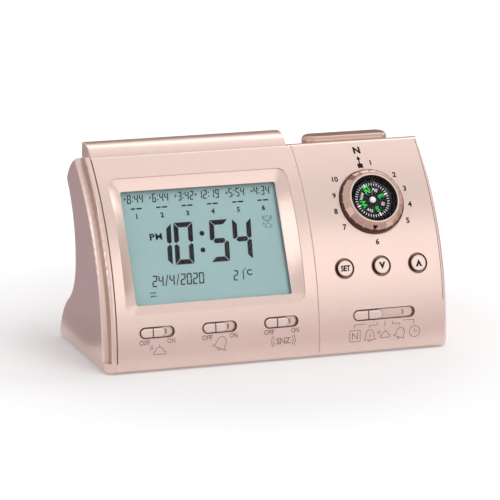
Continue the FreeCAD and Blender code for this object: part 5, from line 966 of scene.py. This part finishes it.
def digit(bm, char, x, y, width, height, stroke):
    """One seven-segment digit centred at a place, its segments mitred and held apart by thin gaps."""
    gap = stroke * 0.09
    w, h, t = width / 2, height / 2, stroke
    middle = [(-w + t * 0.6 + gap, 0), (-w + t + gap, t / 2), (w - t - gap, t / 2), (w - t * 0.6 - gap, 0),
              (w - t - gap, -t / 2), (-w + t + gap, -t / 2)]
    left = [(-w, h - gap), (-w + t, h - t - gap), (-w + t, t / 2 + gap), (-w + t * 0.45, gap), (-w, t * 0.35)]
    right = [(w, h - gap), (w, t * 0.35), (w - t * 0.45, gap), (w - t, t / 2 + gap), (w - t, h - t - gap)]
    shapes = {
        "a": [(-w + gap, h), (w - gap, h), (w - t - gap, h - t), (-w + t + gap, h - t)],
        "b": right,
        "c": [(px, -py) for px, py in reversed(right)],
        "d": [(-w + gap, -h), (-w + t + gap, -h + t), (w - t - gap, -h + t), (w - gap, -h)],
        "e": [(px, -py) for px, py in reversed(left)],
        "f": left,
        "g": middle,
    }
    for name in LIT[char]:
        add_polygon(bm, [(x + px + py * DIGIT_SLANT, y + py) for px, py in shapes[name]])


def segment_row(bm, text, x, y, width, height, stroke, step):
    """Digits, colons and slashes side by side from a left edge."""
    for char in text:
        if char == ":":
            for side in (-1, 1):
                rise = side * height * 0.22
                add_disc(bm, (x + stroke * 0.6 + rise * DIGIT_SLANT, y + rise), stroke * 0.62, 12)
            x += stroke * 2.2
        elif char == "/":
            add_bar(bm, (x + stroke * 0.3, y - height / 2), (x + width * 0.75, y + height / 2), stroke * 0.7)
            x += width * 0.75 + (step - width)
        else:
            digit(bm, char, x + width / 2, y, width, height, stroke)
            x += step


def display_piece(name, bm, material):
    thicken(bm, SEGMENT_DEPTH)
    lay(bm, DISPLAY_FRAME, GLASS_FACE - SEGMENT_SUNK)
    new_piece(name, bm, material, "case")


def big_time():
    bm = bmesh.new()
    for char, x in (("1", -18.1), ("0", -8.9), ("5", 6.4), ("4", 16.3)):
        digit(bm, char, x, 0.3, 8.1, 17.4, 2.05)
    for rise in (-3.45, 3.45):
        add_disc(bm, (-0.95 + rise * DIGIT_SLANT, 0.4 + rise), 1.05, 24)
    display_piece("time_digits", bm, SEGMENT)


def small_times():
    """Six small times along the top, each over two short bars and a plain number."""
    row = (("8:44", -27.1, "P"), ("6:44", -16.3, "P"), ("3:42", -5.4, "P"), ("12:19", 5.5, "P"),
           ("5:54", 16.5, "A"), ("4:34", 27.4, "A"))
    step, width, height, stroke = 2.1, 1.65, 3.6, 0.44
    times = bmesh.new()
    marks = bmesh.new()
    for index, (text, x, half_day) in enumerate(row):
        left = x + 4.1 - (len(text) - 1) * step - stroke * 2.2
        segment_row(times, text, left, 19.9, width, height, stroke, step)
        join_meshes(times, word_mesh(half_day, 1.2, weight=0.03), left - 0.85, 20.0)
        join_meshes(marks, word_mesh(str(index + 1), 2.1, weight=0.04), x, 12.7)
        for spot, length in ((-2.1, 1.9), (0.3, 2.3)):
            add_bar(marks, (x + spot, 15.9), (x + spot + length, 15.9), 0.6)
    display_piece("small_times", times, SEGMENT)
    display_piece("row_marks", marks, SEGMENT)


def lower_row():
    """The date, the warmth, PM beside the time, and two small lines in the corner."""
    bm = bmesh.new()
    segment_row(bm, "24/4/2020", -24.6, -14.5, 2.15, 4.7, 0.52, 2.62)
    segment_row(bm, "21", 10.1, -14.6, 2.0, 4.3, 0.5, 2.5)
    join_meshes(bm, word_mesh("C", 2.5, weight=0.03), 17.1, -13.7)
    add_path(bm, arc_points((15.35, -12.2), 0.35, 0, 360, 14), 0.18)
    join_meshes(bm, word_mesh("P", 2.8, 2.1, weight=0.03), -21.9, 3.8)
    join_meshes(bm, word_mesh("M", 2.8, 2.7, weight=0.01), -19.1, 3.8)
    for line in (-19.1, -20.5):
        add_path(bm, [(-26.2, line), (-23.8, line)], 0.3)
        for x in (-26.0, -25.0, -24.0):
            add_path(bm, [(x, line - 0.5), (x, line)], 0.25)
    display_piece("date_row", bm, SEGMENT)


def bell_drawing(size, stroke, waves=False):
    """The outline of a small bell, its clapper, and sound waves at both sides if wanted."""
    bm = bmesh.new()
    body = [(-0.5, -0.38), (-0.36, -0.24), (-0.32, 0.1)]
    body += arc_points((0, 0.1), 0.32, 180, 0, 8)
    body += [(0.36, -0.24), (0.5, -0.38), (-0.5, -0.38)]
    add_path(bm, scaled(body, size), stroke)
    add_path(bm, scaled(arc_points((0, -0.40), 0.12, 180, 360, 6), size), stroke)
    if waves:
        for side in (0, 180):
            for radius in (0.62, 0.80):
                add_path(bm, scaled(arc_points((0, 0.1), radius, side - 28, side + 28, 6), size), stroke)
    return bm


def dome_drawing(size, stroke):
    """The outline of a dome on a low wall with two waves beside it."""
    bm = bmesh.new()
    arch = [(-0.42, -0.3), (-0.42, -0.12)] + arc_points((0, -0.12), 0.3, 180, 0, 8)
    arch += [(0.42, -0.12), (0.42, -0.3), (-0.42, -0.3)]
    add_path(bm, scaled(arch, size), stroke)
    add_bar(bm, (0, 0.18 * size), (0, 0.36 * size), stroke)
    for radius in (0.14, 0.26):
        add_path(bm, scaled(arc_points((-0.38, 0.06), radius, 110, 190, 5), size), stroke)
    return bm


def display_icons():
    bm = bell_drawing(2.5, 0.2, waves=True)
    join_meshes(bm, dome_drawing(3.6, 0.2), 0.1, -2.7)
    bmesh.ops.translate(bm, vec=(28.3, 8.2, 0), verts=bm.verts)
    display_piece("display_icons", bm, FAINT)


# ---- prints and moulded signs on the panel

SIGN_STROKE = 0.3


def compass_sign():
    """Above the dial: the letter N over an arrow that stands on a small square."""
    print_on_front("north_letter", word_mesh("N", 3.3, 3.1, weight=0.05), 44.1, 47.0)
    bm = bmesh.new()
    add_polygon(bm, [(0, 2.75), (-0.95, 1.0), (0.95, 1.0)])
    add_bar(bm, (0, 1.05), (0, -0.95), 0.55)
    add_polygon(bm, [(-1.15, -0.9), (-1.15, -3.0), (1.15, -3.0), (1.15, -0.9)])
    print_on_front("north_arrow", bm, 43.8, 44.0)


def city_numbers():
    """Plain numbers round the dial, one at each of its stops."""
    stops = (("1", 48.6, 43.6), ("2", 57.6, 40.2), ("3", 60.8, 36.7), ("4", 61.6, 32.9), ("5", 59.4, 29.2),
             ("6", 44.6, 24.9), ("7", 31.3, 28.7), ("8", 28.6, 32.4), ("9", 29.2, 36.1), ("10", 31.2, 40.0))
    for text, x, lean in stops:
        print_on_front("stop_number_" + text, word_mesh(text, 2.4, weight=0.035), x, lean)


def snooze_sign():
    bm = word_mesh("SNZ", 2.6, 6.2, 0.02)
    for side in (0, 180):
        for radius in (4.2, 5.1):
            add_path(bm, arc_points((0, 0), radius, side - 26, side + 26, 8), SIGN_STROKE)
    return bm


def switch_signs():
    """Moulded signs below the three short slide switches."""
    signs = ((dome_drawing(6.2, SIGN_STROKE), 0.9, 5.1, 0), (bell_drawing(6.0, SIGN_STROKE), 0.55, 5.5, -24),
             (snooze_sign(), 0.8, 4.8, 0))
    for index, (drawing, across, lean, turn) in enumerate(signs):
        x = SLOTS[index][1]
        relief_on_front("off_word_%d" % index, word_mesh("OFF", 2.0, 4.4, 0.02), x - 5.4, 6.9)
        relief_on_front("on_word_%d" % index, word_mesh("ON", 2.0, 3.4, 0.02), x + 5.9, 6.95)
        relief_on_front("switch_sign_%d" % index, drawing, x + across, lean, turn)


def mode_signs():
    """The five positions of the long slide switch, each joined to its sign by a thin line."""
    size = 4.6
    half = size / 2
    square = bmesh.new()
    corners = [(-1, -1), (1, -1), (1, 1), (-1, 1), (-1, -1)]
    add_path(square, scaled(corners, half), SIGN_STROKE)
    join_meshes(square, word_mesh("N", size * 0.6))
    clock = bmesh.new()
    add_path(clock, arc_points((0, 0), half, 0, 360, 24), SIGN_STROKE)
    add_path(clock, [(0, half * 0.55), (0, 0), (half * 0.5, 0)], SIGN_STROKE)
    numbered = bell_drawing(size * 1.15, SIGN_STROKE)
    join_meshes(numbered, word_mesh("2", size * 0.28), 0.0, -0.05 * size)
    dome = dome_drawing(size * 1.1, SIGN_STROKE)
    bell = bell_drawing(size * 1.1, SIGN_STROKE)
    signs = ((square, 31.9, 0), (numbered, 38.5, 0), (dome, 45.3, 0), (bell, 52.0, -20.0), (clock, 58.4, 0))
    for index, (drawing, x, turn) in enumerate(signs):
        relief_on_front("mode_sign_%d" % index, drawing, x, 4.4, turn)
    paths = (
        [(-13.2, -1.5), (-13.2, 0), (-8.4, 0), (-8.4, 0.5)],
        [(-6.6, -1.7), (-6.6, -0.7), (-3.0, -0.7), (-3.0, 0.5)],
        [(0.3, -1.5), (0.3, 0.5)],
        [(3.6, 0.5), (3.6, -0.7), (6.9, -0.7), (6.9, -1.7)],
        [(8.4, 0.4), (13.2, 0.4), (13.2, -1.5)],
    )
    lines = bmesh.new()
    for path in paths:
        add_path(lines, path, SIGN_STROKE)
    relief_on_front("mode_lines", lines, MODE_SLOT, 6.9)


def button_legends():
    """SET and the two chevrons on the button tops; each rides on its button."""
    button_top = 1.2
    chevron = bmesh.new()
    add_polygon(chevron, [(-1.45, 1.5), (0, -1.5), (1.45, 1.5), (0.45, 1.5), (0, 0.3), (-0.45, 1.5)])
    legends = (("set", word_mesh("SET", 2.5, 4.1, weight=0.045), -1), ("down", chevron, 0),
               ("up", turned(chevron.copy(), 180), 1))
    for name, drawing, step in legends:
        thicken(drawing, PRINT_DEPTH)
        lay(drawing, front_frame(DIAL_X + step * BUTTON_PITCH, BUTTON_LEAN), button_top - PRINT_SUNK)
        new_piece(name + "_legend", drawing, INK, name + "_key")


# ---- dial and compass

RING_TOP = 11.4
RING_FOOT = 13.8
RING_LOW = 0.8
RING_HIGH = 3.9
RING_SLOPE = math.atan2(RING_HIGH - RING_LOW, RING_FOOT - RING_TOP)
RING_FACETS = 24
RING_MIDDLE = (RING_TOP + RING_FOOT) / 2
RING_RISE = (RING_LOW + RING_HIGH) / 2
# The painted highlight lines on the edges between the ring's flats.
LINE_SHARE = 0.84
LINE_WIDTH = 0.2
LIP_RADIUS = 10.4
LIP_WIDTH = 0.62
LIP_DEPTH = 0.08
CARD_FACE = 1.2
CARD_TURN = 20.0
CARD_PRINT = 0.04
TICKS = 40
TICK_END = 7.4
TICK_START = 6.4
QUARTER_START = 5.9


def on_ring(turn, place, axis):
    """A frame on the slope of the ring: turned about the dial, moved out, and tilted about an axis."""
    swing = Matrix.Rotation(math.radians(turn), 4, "Z")
    return swing @ Matrix.Translation(Vector(place) * MM) @ Matrix.Rotation(RING_SLOPE, 4, axis)


def dial_pointer():
    """The black triangle on the slope of the ring."""
    bm = bmesh.new()
    add_polygon(bm, [(-1.15, 1.1), (0, -1.15), (1.15, 1.1)])
    thicken(bm, PRINT_DEPTH)
    lay(bm, DIAL_FRAME @ on_ring(-8.5, (0, -RING_MIDDLE, RING_RISE + 0.03), "X"))
    new_piece("dial_pointer", bm, INK, "city_dial")


def dial_trim():
    """Painted highlights, thin pale lines where the flats of the ring meet, and the pale lip round the
    compass.
    """
    lines = bmesh.new()
    length = math.hypot(RING_HIGH - RING_LOW, RING_FOOT - RING_TOP) * LINE_SHARE
    for index in range(RING_FACETS):
        line = bmesh.new()
        add_bar(line, (-length / 2, 0), (length / 2, 0), LINE_WIDTH)
        thicken(line, PRINT_DEPTH)
        lay(line, on_ring(index * 360 / RING_FACETS, (RING_MIDDLE - 0.2, 0, RING_RISE + 0.25), "Y"))
        join_meshes(lines, line)
    lay(lines, DIAL_FRAME)
    new_piece("facet_edge_highlights", lines, PALE_ROSE, "city_dial")
    lip = bmesh.new()
    add_path(lip, arc_points((0, 0), LIP_RADIUS, 0, 360, 72), LIP_WIDTH)
    thicken(lip, LIP_DEPTH)
    lay(lip, DIAL_FRAME, RING_HIGH - 0.01)
    new_piece("dial_lip", lip, PALE_ROSE, "city_dial")


def card_piece(name, bm, material):
    thicken(bm, CARD_PRINT)
    lay(bm, DIAL_FRAME @ Matrix.Rotation(math.radians(CARD_TURN), 4, "Z"), CARD_FACE - 0.01)
    new_piece(name, bm, material, "compass_rose")


def words_round(target, words, first, height, reach, weight):
    """Four words in a ring, a quarter turn apart, with their feet to the middle."""
    for index, text in enumerate(words):
        angle = first + index * 90
        word = turned(word_mesh(text, height, weight=weight), angle - 90)
        across = reach * math.cos(math.radians(angle))
        up = reach * math.sin(math.radians(angle))
        join_meshes(target, word, across, up)


def compass_print():
    """The printed card: a ring of ticks, green quarter letters, and small white marks between them."""
    ticks = bmesh.new()
    for index in range(TICKS):
        angle = math.radians(index * 360 / TICKS)
        quarter = index % (TICKS // 4) == 0
        way = Vector((math.cos(angle), math.sin(angle)))
        start = way * (QUARTER_START if quarter else TICK_START)
        add_bar(ticks, tuple(start), tuple(way * TICK_END), 0.6 if quarter else 0.24)
    words_round(ticks, ("NW", "SW", "SE", "NE"), 135, 1.3, 4.7, 0.01)
    card_piece("compass_ticks", ticks, WHITE_INK)
    letters = bmesh.new()
    words_round(letters, ("N", "W", "S", "E"), 90, 2.5, 4.3, 0.04)
    add_polygon(letters, [(0, 7.7), (-1.3, 5.7), (1.3, 5.7)])
    card_piece("compass_letters", letters, GREEN_INK)


# ---- making it

make_camera()
make_world()
make_lamps()
make_table()
make_cards()
bpy.context.scene.view_settings.view_transform = "Standard"
finish_inside()
for node_name, (finish_material, slot_name) in OUTSIDE.items():
    smooth_skin(node_name, finish_material)
big_time()
small_times()
lower_row()
display_icons()
compass_sign()
city_numbers()
switch_signs()
mode_signs()
button_legends()
dial_pointer()
dial_trim()
slot_shields()
slot_rims()
right_edge_shade()
compass_print()
